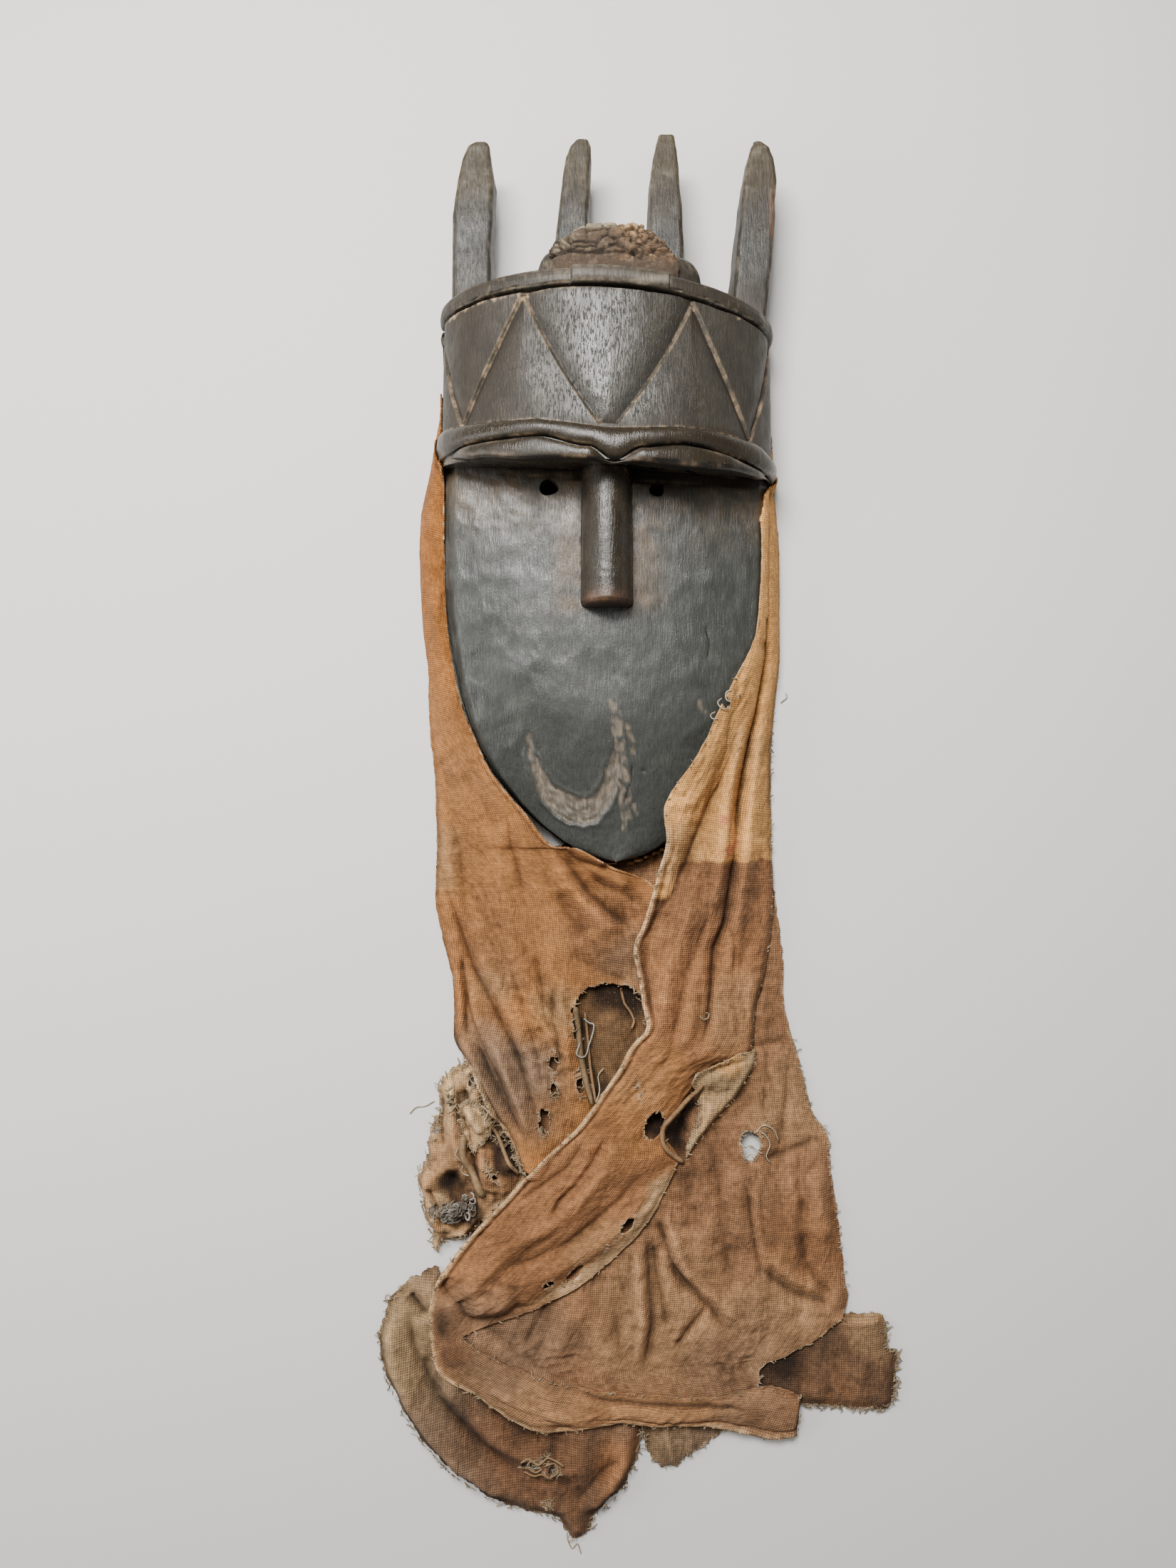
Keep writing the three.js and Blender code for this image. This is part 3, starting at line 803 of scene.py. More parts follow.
# %% [markdown]
# ## Colour of old wood
# The wood is near black, with a grey, waxy shine on the face and a browner tone on the forehead. Cut edges
# are rubbed to tan, dust lies in corners, and bare wood shows in the scar. Part of the shine is a painted
# sheen, on the upper left of the face and in the forehead's middle, and painted shade darkens the brow's
# underside, the groove under the rim, the sides of the face and the gentle side of each cut. These broad
# tones are worked out on the points as an attribute, from the same lines that carved them. Fine grain and
# gloss are left to the shader.

# %% Broad tones of the wood
FACE_TONE = (0.034, 0.036, 0.032)
FACE_WEAR_AND_SHEEN = (0.090, 0.092, 0.084)
BROWN_TONE = (0.0235, 0.0175, 0.0105)
FIELD_GREY_AND_SHEEN = (0.038, 0.035, 0.027)
HORN_TONE = (0.024, 0.023, 0.019)
OLIVE_TONE = (0.046, 0.034, 0.017)
DUST_TONE = (0.098, 0.068, 0.040)
BARE_TONE = (0.190, 0.152, 0.112)
CUT_TONE = (0.330, 0.235, 0.140)
DARK_TONE = (0.011, 0.009, 0.007)
UNDERSIDE_SHADE_TONE = (0.004, 0.003, 0.002)
NOSE_TIP_TONE = (0.115, 0.060, 0.036)
SCAR_TONE = (0.095, 0.078, 0.058)


def tint(colours, colour, strength):
    """Mix a colour into the points by a strength from 0 to 1."""
    return mix(colours, np.array(colour), np.clip(strength, 0, 1)[:, None])


def coats(colours, *layers):
    """Mix one (colour, strength) after another into the points."""
    for colour, strength in layers:
        colours = tint(colours, colour, strength)
    return colours


x, y, z = wood_points.T
broad = noise_at(wood_points, 38, seed=11.0)
cloudy = noise_at(wood_points, 11, seed=12.0)
fine = noise_at(wood_points, 3.0, (1, 0.4, 1), 13.0)
blotch = noise_at(wood_points, 20, (1, 0.6, 1), 16.0)
middle = close_to(x - 2, 44) * between(y, 244, 256, 334, 338)
on_horns = ease(y, 352, 366)
right_field = between(x, 58, 66, 98, 106) * ease(y, 244, 250) * (1 - on_horns)
worn = ease(0.6 * broad + 0.5 * cloudy + 0.25 * fine, 0.0, 0.45)
upper_left = close_to(x + 75, 60) * close_to(y - 150, 90)
under_brow = close_to(y - brow_foot(x) + 10, 26)
beside_nose = close_to(np.abs(x) - 26, 12) * ease(y, 115, 135)
dusty = np.maximum(under_brow * (0.6 + 0.4 * ease(-x, -20, 90)), beside_nose)
low_end = on_nose * (1 - ease(y + 4 * cloudy, 128, 142)) + 0.4 * on_nose * ease(y, 214, 224)
fibrous = ease(fibre + 1.2 * streaks + 0.5 * cloudy, -0.55, 0.75)
# Painted shadow: the underside of the brow and the faces under it are made near black.
in_shade = ease(-wood_normals[:, 1], 0.35, 0.7) * ease(z, 48, 56) * between(y, 212, 215, 238, 242)
in_shade = np.maximum(in_shade, (np.abs(y - underside(x, z)) < 1.0) & (z > 46))
tones = coats(
    np.tile(BROWN_TONE, (len(wood_points), 1)),
    (FACE_TONE, on_face),
    # wear, and a painted sheen that is strongest on the upper left of the face
    (FACE_WEAR_AND_SHEEN, on_face * worn * (0.12 + 0.6 * upper_left)),
    # a greyer middle of the forehead, partly a painted sheen where its bright highlight falls
    (FIELD_GREY_AND_SHEEN, middle * (0.9 + 0.4 * cloudy)),
    (FIELD_GREY_AND_SHEEN, 0.5 * right_field),
    (HORN_TONE, on_horns * (0.85 + 0.4 * cloudy)),
    (OLIVE_TONE, ease(y + 14 * cloudy, 402, 436)),
    (BROWN_TONE, on_horns * ease(broad + 0.5 * fine, 0.1, 0.5) * 0.7),
    (DUST_TONE, on_face * dusty * (0.7 + 0.7 * cloudy + 0.5 * fine)),
    (BROWN_TONE, on_nose * (0.9 + 0.3 * cloudy)),
    (NOSE_TIP_TONE, low_end * (0.7 + 0.6 * fine)),
    (SCAR_TONE, on_face * scar * 0.8),
    (BARE_TONE, on_face * scar * fibrous * 0.75),
    (BARE_TONE, on_face * bare * (0.5 + 0.6 * fine + 0.3 * cloudy)),
    (DARK_TONE, crack),
    # painted shadow under the brow
    (UNDERSIDE_SHADE_TONE, in_shade * (1 - inside)),
)
print("mean tone of the wood:", np.round(tones.mean(axis=0), 3))

# %% Rubbed edges and dark grooves
# Pale chips where the edge of a cut broke away: (x, reach) under the rim, (x, y, reach) elsewhere.
RIM_CHIPS = [(-113, 3.0), (-109, 3.5), (-101, 2.5), (-91, 3.0), (-87, 2.5), (-80, 3.5), (92, 2.5)]
CHIPS = [
    (-61, 335, 4.0), (-56, 334, 3.5), (-64, 330, 2.5), (59, 327, 2.5), (-6, 248, 2.5), (7, 247, 2.5),
    (-103, 255, 2.5), (101, 245, 2.5),
]
LEAF_EDGE_TONE = (0.170, 0.120, 0.072)
BEAD_TONE = (0.026, 0.020, 0.013)
BEAD_WORN = (0.110, 0.085, 0.055)
LIP_TONE = (0.060, 0.050, 0.036)
FACET_TONE = (0.185, 0.158, 0.118)
WORN_EDGE_TONE = (0.170, 0.135, 0.092)
RUST_TONE = (0.160, 0.075, 0.042)
SCRATCH_TONE = (0.140, 0.118, 0.078)
HOLLOW_TONE = (0.05, 0.038, 0.026)

degrees = np.degrees(np.arctan2(x / FOREHEAD_HALF, np.maximum(z - FOREHEAD_FOOT, 0.01) / FOREHEAD_RISE))
from_rim = y - top_line(x)
proud_part = ease(z, 30, 40)
on_forehead = ease(y, 236, 242) * ease(z, 26, 32) * (1 - ease(from_rim, -13.4, -12.4))
away = cut_distance(np.radians(degrees) * ARC_RADIUS, y)
patchy = ease(noise_at(wood_points, 14, seed=21.0), -0.35, 0.35)
broken = ease(noise_at(wood_points, 3.5, seed=22.0), -0.3, 0.3)
# slope: painted shade on the gentle side of each cut and in the cut itself
slope = np.where(away > 0, np.exp(-away / 3.2), close_to(away, 0.7)) * on_forehead
pale_wall = close_to(away + 1.15, 0.75) * on_forehead
brow_edge = close_to(y - brow_top(x), 0.9) * proud_part
seam_edge = close_to(y - brow_seam(x), 0.8) * proud_part
under_rim = close_to(from_rim + 12.4, 0.8) * ease(z, 24, 30)
below_rim = close_to(from_rim + 14.2, 0.9) * ease(z, 24, 30)
leaf = proud_part * on_front * (1 - below_brow) * (1 - on_horns)
tones = coats(
    tones,
    # painted shade along the cuts
    (DARK_TONE, 0.62 * slope),
    (CUT_TONE, 0.62 * pale_wall * (0.12 + 0.88 * patchy) * (0.4 + 0.6 * broken)),
    (CUT_TONE, 0.7 * brow_edge * (0.3 + 0.7 * patchy) * broken),
)
for edge_y, reach in [(brow_foot(x) + 2.0, 1.4), (brow_seam(x) - 1.8, 0.9), (brow_seam(x) + 2.0, 0.8)]:
    rubbed = close_to(y - edge_y, reach) * leaf
    tones = tint(tones, LEAF_EDGE_TONE, 0.6 * rubbed * patchy * (0.3 + 0.7 * broken))
tones = coats(
    tones,
    (DARK_TONE, 0.85 * seam_edge),
    # painted shade on the sides of the face below the brow, which turn away from the lamps
    (DARK_TONE, 0.7 * below_brow * (1 - on_front) * (1 - inside)),
    # painted shade in the groove under the rim bead
    (DARK_TONE, 0.9 * under_rim),
    (CUT_TONE, 0.5 * below_rim * broken * ease(-x + 40 * blotch, -20, 60)),
)
for chip_x, chip_y, reach in [(at, float(top_line(at)) - 14.2, reach) for at, reach in RIM_CHIPS] + CHIPS:
    gap = np.hypot(x - chip_x, y - chip_y) + 2.5 * np.abs(fine)
    tones = tint(tones, CUT_TONE, 0.9 * (1 - ease(gap, 0.4 * reach, reach)) * ease(z, 34, 44) * broken)
on_bead = ease(from_rim, -11.5, -10.5) * (1 - on_horns) * ease(z, 14, 20)
lip_part = on_bead * between(x, -28, -24, 40, 46)
facet = between(x, 14, 22, 40, 45) * close_to(from_rim + 9.0 - 0.22 * (x - 20), 2.6)
edge_wear = worn_edge * (0.25 + 0.75 * patchy) * broken
rust_side = on_horns * ease(x, 116, 119) * (1 - ease(y, 425, 450)) * patchy
scratch = on_horns * ease(np.abs(scrapes), 0.42, 0.6) * ease(y, 395, 430)
tones = coats(
    tones,
    (BEAD_TONE, on_bead * (0.85 + 0.6 * cloudy)),
    (BEAD_WORN, on_bead * ease(fine + 0.6 * blotch, 0.25, 0.6) * 0.55),
    (LIP_TONE, lip_part * (0.5 + 0.7 * blotch)),
    (FACET_TONE, lip_part * facet * 0.75),
    (WORN_EDGE_TONE, 0.55 * edge_wear),
    (RUST_TONE, 0.7 * rust_side),
    (SCRATCH_TONE, 0.4 * scratch),
    (HOLLOW_TONE, inside),
)
paint_points(mask, "tone", tones)
print("mean tone with its edges:", np.round(tones.mean(axis=0), 3))

# %% Gloss and dashes
# The first number is how polished the wood is, the second how many open pores show as dark dashes.
left_side = 1 - ease(x, -85, -10)
polish = on_face * (0.4 + 0.35 * worn + 0.4 * left_side) + middle * 0.9
polish += on_horns * (1 - ease(y, 395, 440)) * 0.35
polish = mix(polish, 0.9, on_nose * ease(y, 128, 138))
on_brow = (1 - below_brow) * (1 - ease(y - brow_top(x), 0, 1)) * proud_part
polish = np.maximum(polish, on_brow * (0.75 + 0.4 * blotch))
polish = np.clip(polish + 0.25 * blotch - 0.8 * scar - 0.6 * slope, 0, 1)
dashes = np.clip(middle + 0.3 * on_face + 0.35 * on_horns + 0.35 * on_forehead, 0, 1)
paint_points(mask, "wear", np.column_stack([polish, dashes, 0 * dashes]))
print("mean polish:", round(float(polish.mean()), 2))

# %% [markdown]
# ## A few helpers for node materials
# A material here is a chain of nodes. Typing each link by hand hides the idea, so `put` makes a node, sets
# its options and joins whatever is given as another node's output. Patterns read Object coordinates, which
# are the same in every view and in the exported model.

# %% Material helpers
def new_finish(name):
    finish = bpy.data.materials.new(name)
    finish.use_nodes = True
    return finish, finish.node_tree, finish.node_tree.nodes["Principled BSDF"]


def put(tree, kind, values=None, output=0, **settings):
    """Add a node, set or link its inputs, and give back one of its outputs."""
    node = tree.nodes.new("ShaderNode" + kind)
    for key, value in settings.items():
        setattr(node, key, value)
    for key, value in (values or {}).items():
        if isinstance(value, bpy.types.NodeSocket):
            tree.links.new(value, node.inputs[key])
        else:
            node.inputs[key].default_value = value
    return node.outputs[output]


def noise_value(tree, coords, scale, detail=4.0, rough=0.55):
    values = {"Vector": coords, "Scale": scale, "Detail": detail, "Roughness": rough}
    return put(tree, "TexNoise", values, output="Fac")


def span(tree, value, low, high, to_low=0.0, to_high=1.0):
    """Map a value's range to another one, clamped."""
    values = {"Value": value, "From Min": low, "From Max": high, "To Min": to_low, "To Max": to_high}
    return put(tree, "MapRange", values)


def times(tree, first, second):
    return put(tree, "Math", {0: first, 1: second}, operation="MULTIPLY")


def plus(tree, first, second):
    return put(tree, "Math", {0: first, 1: second}, operation="ADD")


def blend_colours(tree, share, first, second, kind="MIX"):
    """Mix two colours; inputs 6 and 7 of the Mix node are its colours."""
    return put(tree, "Mix", {0: share, 6: first, 7: second}, output=2, data_type="RGBA", blend_type=kind)


def varied(tree, colour, value, low, high, darkest, lightest):
    """A colour made darker and lighter by a value."""
    return blend_colours(tree, 1.0, colour, span(tree, value, low, high, darkest, lightest), "MULTIPLY")


def stored_colour(tree, name):
    return put(tree, "Attribute", output="Color", attribute_name=name)


def stretched(tree, coords, scale):
    return put(tree, "Mapping", {"Vector": coords, "Scale": scale})


def join(tree, socket, target):
    tree.links.new(socket, target)


def add_bump(tree, shader, height, distance, strength):
    bump = put(tree, "Bump", {"Height": height, "Distance": distance, "Strength": strength})
    join(tree, bump, shader.inputs["Normal"])


def dress(piece, finish):
    """Give a finished piece its material and its body."""
    piece.data.materials.clear()
    piece.data.materials.append(finish)
    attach(piece, "root")
    report(piece)


# %% Wood finish
wood, tree, shader = new_finish("dark_wood")
coords = put(tree, "TexCoord", output="Object")
grain = noise_value(tree, stretched(tree, coords, (1.0, 0.1, 1.0)), 900.0, 5.0, 0.6)
pores = noise_value(tree, stretched(tree, coords, (1.0, 0.2, 1.0)), 1000.0, 3.0, 0.6)
clouds = noise_value(tree, coords, 60.0, 8.0, 0.62)
specks = noise_value(tree, coords, 700.0, 3.0, 0.6)
wear = stored_colour(tree, "wear")
polish = put(tree, "SeparateColor", {"Color": wear}, output="Red")
dashes = put(tree, "SeparateColor", {"Color": wear}, output="Green")
dashes = times(tree, dashes, span(tree, pores, 0.46, 0.38))
dark = varied(tree, stored_colour(tree, "tone"), grain, 0.3, 0.7, 0.62, 1.32)
dark = varied(tree, dark, clouds, 0.3, 0.7, 0.72, 1.30)
dark = blend_colours(tree, times(tree, dashes, 0.75), dark, (0.010, 0.009, 0.008, 1))
pale_specks = times(tree, span(tree, specks, 0.68, 0.73), 0.55)
dark = blend_colours(tree, pale_specks, dark, (0.22, 0.18, 0.13, 1))
join(tree, dark, shader.inputs["Base Color"])
rough = plus(tree, span(tree, polish, 0.0, 1.0, 0.54, 0.22), span(tree, clouds, 0.3, 0.7, 0.08, -0.08))
rough = plus(tree, rough, span(tree, grain, 0.3, 0.7, 0.07, -0.07))
rough = plus(tree, rough, times(tree, dashes, 0.2))
join(tree, rough, shader.inputs["Roughness"])
shader.inputs["Specular IOR Level"].default_value = 0.42
fine_bump = plus(tree, times(tree, grain, 0.6), times(tree, specks, 0.25))
fine_bump = plus(tree, fine_bump, times(tree, dashes, -0.35))
add_bump(tree, shader, fine_bump, 0.0007, 0.7)

# Only the flat underside of the forehead block and the sharp edges stay unsmoothed.
middle_x, middle_y, middle_z = to_drawing(read_vectors(mask.data.polygons, "center")).T
on_underside = np.abs(middle_y - underside(middle_x, middle_z)) < 1.2
on_underside &= (middle_z > 45) & (np.abs(middle_x) < 118)
mask.data.polygons.foreach_set("use_smooth", ~on_underside)
mask.data.set_sharp_from_angle(angle=math.radians(50))
dress(mask, wood)
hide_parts("mask_body")

# %% [markdown]
# ## The crust on the crown
# Offerings and medicine were packed on the crown, and dried to a cracked cake. It sits behind the lip of the
# rim like a low loaf. The loaf is a closed tube drawn by stations. Cell noise with square distances breaks
# its upper layer into angular plates over a dark ledge. A pale skin is left on the top, and the right side
# crumbles to ochre.

# %% Crust
# Stations are (y, left x, right x, half thickness).
CRUST = [
    (346, -38, 50, 18), (358, -40, 50, 19), (366, -39.5, 47.5, 19), (371, -38.5, 43, 18),
    (375, -36, 37, 17.5), (379, -31, 34, 17), (382.5, -25, 31, 16), (385.5, -20, 28, 15),
]
CRUST_Z = 70.0
LEDGE_Y = 367.5
SPLIT = [(4, 376), (9, 371), (15, 367), (23, 362.5)]


def blocks_at(points, size, seed=0.0):
    """Angular blocks: the gap to the next border, and a value from -1 to 1 that is even on a block."""
    gaps, values = [], []
    for point in points / size + seed:
        near, centres = noise.voronoi(Vector(point), distance_metric="CHEBYCHEV")
        gaps.append(near[1] - near[0])
        values.append(math.sin(12.9 * centres[0].x + 78.2 * centres[0].y + 37.7 * centres[0].z))
    return np.array(gaps), np.array(values)


def crust_place(u, v):
    stations = np.array(CRUST, float)
    closing = np.clip((v - 0.86) / 0.14, 0, 1)
    y = np.interp(np.minimum(v / 0.86, 1), np.linspace(0, 1, len(CRUST)), stations[:, 0])
    left, right, thin = (np.interp(y, stations[:, 0], stations[:, n]) for n in (1, 2, 3))
    shrink = 1 - 0.97 * closing
    wave = 1 + 0.02 * np.sin(5 * 2 * np.pi * u + y / 9) + 0.015 * np.sin(11 * 2 * np.pi * u - y / 5)
    corner_radius = np.minimum(11, thin * shrink * 0.8)
    x, z = boxed(u, (right - left) / 2 * shrink * wave, thin * shrink * wave, corner_radius)
    return (left + right) / 2 + x, y + 0.8 * closing, CRUST_Z + z


crust = bend_grid("cracked_crust", 236, 100, crust_place, closed=True)
crust_points = points_of(crust)
crust_normals = normals_of(crust)
x, y, z = crust_points.T
bent = crust_points + 1.6 * noise_at(crust_points, 7, seed=2.5)[:, None]
plate_gap, plate_rise = blocks_at(bent * np.array([0.7, 1.0, 0.7]), 9.5, 2.0)
crumb_gap, crumb_rise = blocks_at(bent, 5.0, 7.0)
crumbly = ease(x + 9 * noise_at(crust_points, 9, seed=3.0), 2, 16) * ease(y, 358, 366)
ledge = LEDGE_Y + 1.6 * noise_at(crust_points, 10, seed=5.0)
above = ease(y - ledge, -0.3, 0.5)
overhang = close_to(y - ledge + 0.9, 0.8) * (1 - 0.6 * crumbly)
cap = ease(y, 382.4, 383.6) * (1 - ease(x, 2, 9))
plate_crack = (1 - ease(plate_gap, 0.03, 0.13)) * above * (1 - crumbly)
crumb_crack = (1 - ease(crumb_gap, 0.02, 0.2)) * crumbly
split_line = close_to(along_line(x, y, SPLIT)[0], 1.0) * ease(z, 70, 80)
relief = 1.5 * above + 0.9 * above * (1 - crumbly) * plate_rise + 1.3 * crumbly * crumb_rise - 2.0 * overhang
relief += 0.8 * cap - 1.8 * plate_crack - 1.5 * crumb_crack - 2.8 * split_line
relief += 1.2 * noise_at(crust_points, 10, seed=4.0) + 0.7 * noise_at(crust_points, 3.5, seed=6.0)
relief += 0.35 * noise_at(crust_points, 1.3, seed=8.0)
set_points(crust, crust_points + crust_normals * relief[:, None])
report(crust)

# %% Crust tones
BAND_TONE = (0.060, 0.040, 0.026)
PLATE_TONE = (0.075, 0.051, 0.032)
CRUMB_TONE = (0.135, 0.078, 0.042)
CAP_TONE = (0.290, 0.240, 0.160)
OCHRE_TONE = (0.520, 0.310, 0.140)
patches = noise_at(crust_points, 8, seed=31.0)
grains = noise_at(crust_points, 2.2, seed=32.0)
ochre = close_to(x - 15, 8) * close_to(y - 384, 3.5)
tones = coats(
    np.tile(BAND_TONE, (len(crust_points), 1)),
    (PLATE_TONE, (1 - above) * ease(grains + patches, 0.1, 0.6) * 0.7),
    (PLATE_TONE, above * (0.8 + 0.35 * plate_rise)),
    (CRUMB_TONE, crumbly * (0.75 + 0.4 * crumb_rise)),
    (CAP_TONE, cap * (0.8 + 0.6 * patches)),
    (CAP_TONE, 0.7 * above * ease(grains, 0.15, 0.4) * close_to(x + 31, 8)),
    (OCHRE_TONE, ochre * ease(grains, -0.5, 0.1)),
    (OCHRE_TONE, 0.45 * crumbly * ease(grains, 0.2, 0.45)),
    # the cracks are dark joints; overhang is painted shade under the edge of the plates
    (DARK_TONE, 0.85 * np.maximum.reduce([plate_crack, crumb_crack, split_line, overhang])),
)
paint_points(crust, "tone", tones)

cake, tree, shader = new_finish("crust")
coords = put(tree, "TexCoord", output="Object")
grit_value = noise_value(tree, coords, 800.0, 6.0, 0.7)
clouds = noise_value(tree, coords, 160.0, 6.0, 0.6)
dusty = varied(tree, stored_colour(tree, "tone"), grit_value, 0.3, 0.7, 0.6, 1.45)
dusty = blend_colours(tree, times(tree, span(tree, clouds, 0.55, 0.7), 0.35), dusty, (0.30, 0.22, 0.14, 1))
join(tree, dusty, shader.inputs["Base Color"])
shader.inputs["Roughness"].default_value = 0.92
add_bump(tree, shader, grit_value, 0.0009, 0.9)
crust.data.shade_smooth()
dress(crust, cake)
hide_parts("crown_crust")

# %% [markdown]
# ## Cotton
# The cape is hand-woven cotton, dyed brown and worn soft. Its threads are 1.6 mm apart: two crossed waves on
# the flat UV map, bent by noise because hand-spun thread is uneven. Stretched noise makes single threads
# lighter or darker along their length, and a thin network of creases runs over all. The dye, together with
# the painted shade of folds, pockets and holes, is a stored colour per point.

# %% Cotton finish
THREAD = 0.0016
WAVE_PERIOD = 0.3142  # a wave texture of scale 1 repeats after this distance

cotton, tree, shader = new_finish("worn_cotton")
coords = put(tree, "TexCoord", output="Object")
cloth_map = put(tree, "UVMap", uv_map="cloth")
thread_values = {"Scale": WAVE_PERIOD / THREAD, "Distortion": 1.6, "Detail": 2.0, "Detail Scale": 0.5}
warp = put(tree, "TexWave", {"Vector": cloth_map, **thread_values}, output="Fac", bands_direction="X")
weft = put(tree, "TexWave", {"Vector": cloth_map, **thread_values}, output="Fac", bands_direction="Y")
weave = times(tree, plus(tree, warp, weft), 0.5)
warp_slubs = noise_value(tree, stretched(tree, cloth_map, (1.0, 0.16, 1.0)), 1 / THREAD, 2.0)
weft_slubs = noise_value(tree, stretched(tree, cloth_map, (0.16, 1.0, 1.0)), 1 / THREAD, 2.0)
linen = times(tree, plus(tree, warp_slubs, weft_slubs), 0.5)
blotches = noise_value(tree, coords, 26.0, 6.0, 0.62)
flecks = noise_value(tree, coords, 300.0, 5.0, 0.7)
lint = noise_value(tree, coords, 1100.0, 2.0, 0.5)
swirl = noise_value(tree, stretched(tree, cloth_map, (1.0, 0.4, 1.0)), 46.0, 3.0, 0.6)
crease = span(tree, put(tree, "Math", {0: plus(tree, swirl, -0.5)}, operation="ABSOLUTE"), 0.0, 0.06)
colour = varied(tree, stored_colour(tree, "dye_and_shade"), blotches, 0.3, 0.7, 0.70, 1.26)
colour = varied(tree, colour, flecks, 0.3, 0.7, 0.70, 1.30)
colour = varied(tree, colour, linen, 0.36, 0.64, 0.80, 1.18)
colour = varied(tree, colour, weave, 0.1, 0.9, 0.58, 1.22)
colour = varied(tree, colour, crease, 0.0, 1.0, 0.92, 1.0)
colour = blend_colours(tree, times(tree, span(tree, lint, 0.69, 0.75), 0.5), colour, (0.62, 0.44, 0.26, 1))
join(tree, colour, shader.inputs["Base Color"])
shader.inputs["Roughness"].default_value = 0.95
shader.inputs["Specular IOR Level"].default_value = 0.1
shader.inputs["Sheen Weight"].default_value = 0.03
shader.inputs["Sheen Roughness"].default_value = 0.6
surface = plus(tree, times(tree, weave, 0.6), times(tree, flecks, 0.8))
surface = plus(tree, surface, times(tree, linen, 0.6))
surface = plus(tree, surface, times(tree, crease, 0.6))
add_bump(tree, shader, surface, 0.0008, 0.9)
print("nodes of the cotton finish:", len(tree.nodes))

# %% [markdown]
# ## Ground under the cloth
# The cape is several layers of one old cloth, and each layer lies on whatever is under it: the mask, another
# layer or the ground. A map of heights keeps what has been laid so far. Each new sheet asks it how high it
# has to be, and then adds its own surface. This is quicker than a collision and gives clean gaps between
# layers.

# %% Height map
MAP_STEP = 2.0
MAP_LOW = np.array([-230.0, -620.0])
MAP_CELLS = (240, 480)
heights = np.zeros(MAP_CELLS)


def map_cells(x, y):
    column = np.clip((x - MAP_LOW[0]) / MAP_STEP, 1, MAP_CELLS[0] - 2)
    row = np.clip((y - MAP_LOW[1]) / MAP_STEP, 1, MAP_CELLS[1] - 2)
    return column, row


def lay_down(points):
    """Raise the map to a finished layer."""
    column, row = map_cells(points[:, 0], points[:, 1])
    np.maximum.at(heights, (np.round(column).astype(int), np.round(row).astype(int)), points[:, 2])


def soften(grid, times_over):
    for _ in range(times_over):
        wide = np.pad(grid, 1, mode="edge")
        grid = (wide[:-2, 1:-1] + wide[2:, 1:-1] + wide[1:-1, :-2] + wide[1:-1, 2:] + 4 * grid) / 8
    return grid


def with_neighbours(grid, mode):
    """The grid nine times, moved by one cell each way."""
    wide = np.pad(grid, 1, mode=mode)
    rows, columns = grid.shape
    return [wide[i:i + rows, j:j + columns] for i in range(3) for j in range(3)]


def ground_under(x, y):
    """Height of what has been laid so far, a little softened."""
    column, row = map_cells(x, y)
    left, low = column.astype(int), row.astype(int)
    grid = soften(np.max(with_neighbours(heights, "edge"), axis=0), 2)
    share_x, share_y = column - left, row - low
    near = mix(grid[left, low], grid[left + 1, low], share_x)
    far = mix(grid[left, low + 1], grid[left + 1, low + 1], share_x)
    return mix(near, far, share_y)


seen = wood_normals[:, 2] > 0.2
lay_down(wood_points[seen])
print("highest point on the map:", round(float(heights.max()), 1), "mm")

# %% [markdown]
# ## How a sheet of this cape is made
# Hung cloth has three scales: the way it hangs, drawn by its two edges from row to row; the main folds,
# which are placed as lines with a height and a width on either side; and small wrinkles, which run
# along the cloth. A ridge falls gently on one side and steeply on the other, so each fold has two widths.
# Torn borders and holes are a second rule: a distance that is positive on cloth. Faces outside it are
# deleted, and the points next to the tear are moved onto it, so a tear runs smoothly through the grid.

# %% Rows to a surface
ROW_STEPS = 14


def dense_rows(rows):
    """A smooth curve through the rows, left and right edges together."""
    rows = np.array(rows, float)
    ends = np.vstack([2 * rows[0] - rows[1], rows, 2 * rows[-1] - rows[-2]])
    t = np.linspace(0, 1, ROW_STEPS, endpoint=False)[:, None]
    parts = []
    for before, start, end, after in zip(ends, ends[1:], ends[2:], ends[3:]):
        bend = 2 * before - 5 * start + 4 * end - after
        twist = 3 * start - before - 3 * end + after
        parts.append(0.5 * (2 * start + (end - before) * t + bend * t**2 + twist * t**3))
    return np.vstack([*parts, rows[-1:]])


class Rows:
    """A sheet between a left and a right edge, from its first row to its last."""

    slack = 1.0

    def __init__(self, rows, bulge=0.0):
        self.dense = dense_rows(rows)
        sides = np.diff(self.dense, axis=0)
        steps = (np.linalg.norm(sides[:, :3], axis=1) + np.linalg.norm(sides[:, 3:], axis=1)) / 2
        self.run = np.concatenate([[0], np.cumsum(steps)])
        self.length = self.run[-1]
        self.widths = np.linalg.norm(self.dense[:, 3:] - self.dense[:, :3], axis=1)
        self.width = self.widths.max()
        self.bulge = bulge

    def at(self, u, v):
        picked = [np.interp(v * self.length, self.run, column) for column in self.dense.T]
        x, y, z = (mix(picked[n], picked[n + 3], u) for n in range(3))
        return x, y, z + self.bulge * 4 * u * (1 - u)

    def width_at(self, v):
        return np.interp(v * self.length, self.run, self.widths)

    def flat(self, u, v):
        """The same point on the cloth laid flat, in millimetres."""
        return (u - 0.5) * self.width_at(v), v * self.length

    def gaps(self, u, v):
        """Distances to the left, right, top and bottom border."""
        width = self.width_at(v)
        return u * width, (1 - u) * width, v * self.length, (1 - v) * self.length


def outline_gap(outline, x, y):
    """Distance to a closed outline, positive inside it."""
    closed = np.vstack([outline, outline[:1]])
    distance = np.abs(along_line(x, y, closed)[0])
    crossings = np.zeros(np.shape(x), int)
    for (start_x, start_y), (end_x, end_y) in zip(closed, closed[1:]):
        spans = (start_y > y) != (end_y > y)
        rise = end_y - start_y
        meet = start_x + (end_x - start_x) * (y - start_y) / (rise if rise else 1e-9)
        crossings += spans & (x < meet)
    return np.where(crossings % 2 == 1, distance, -distance)


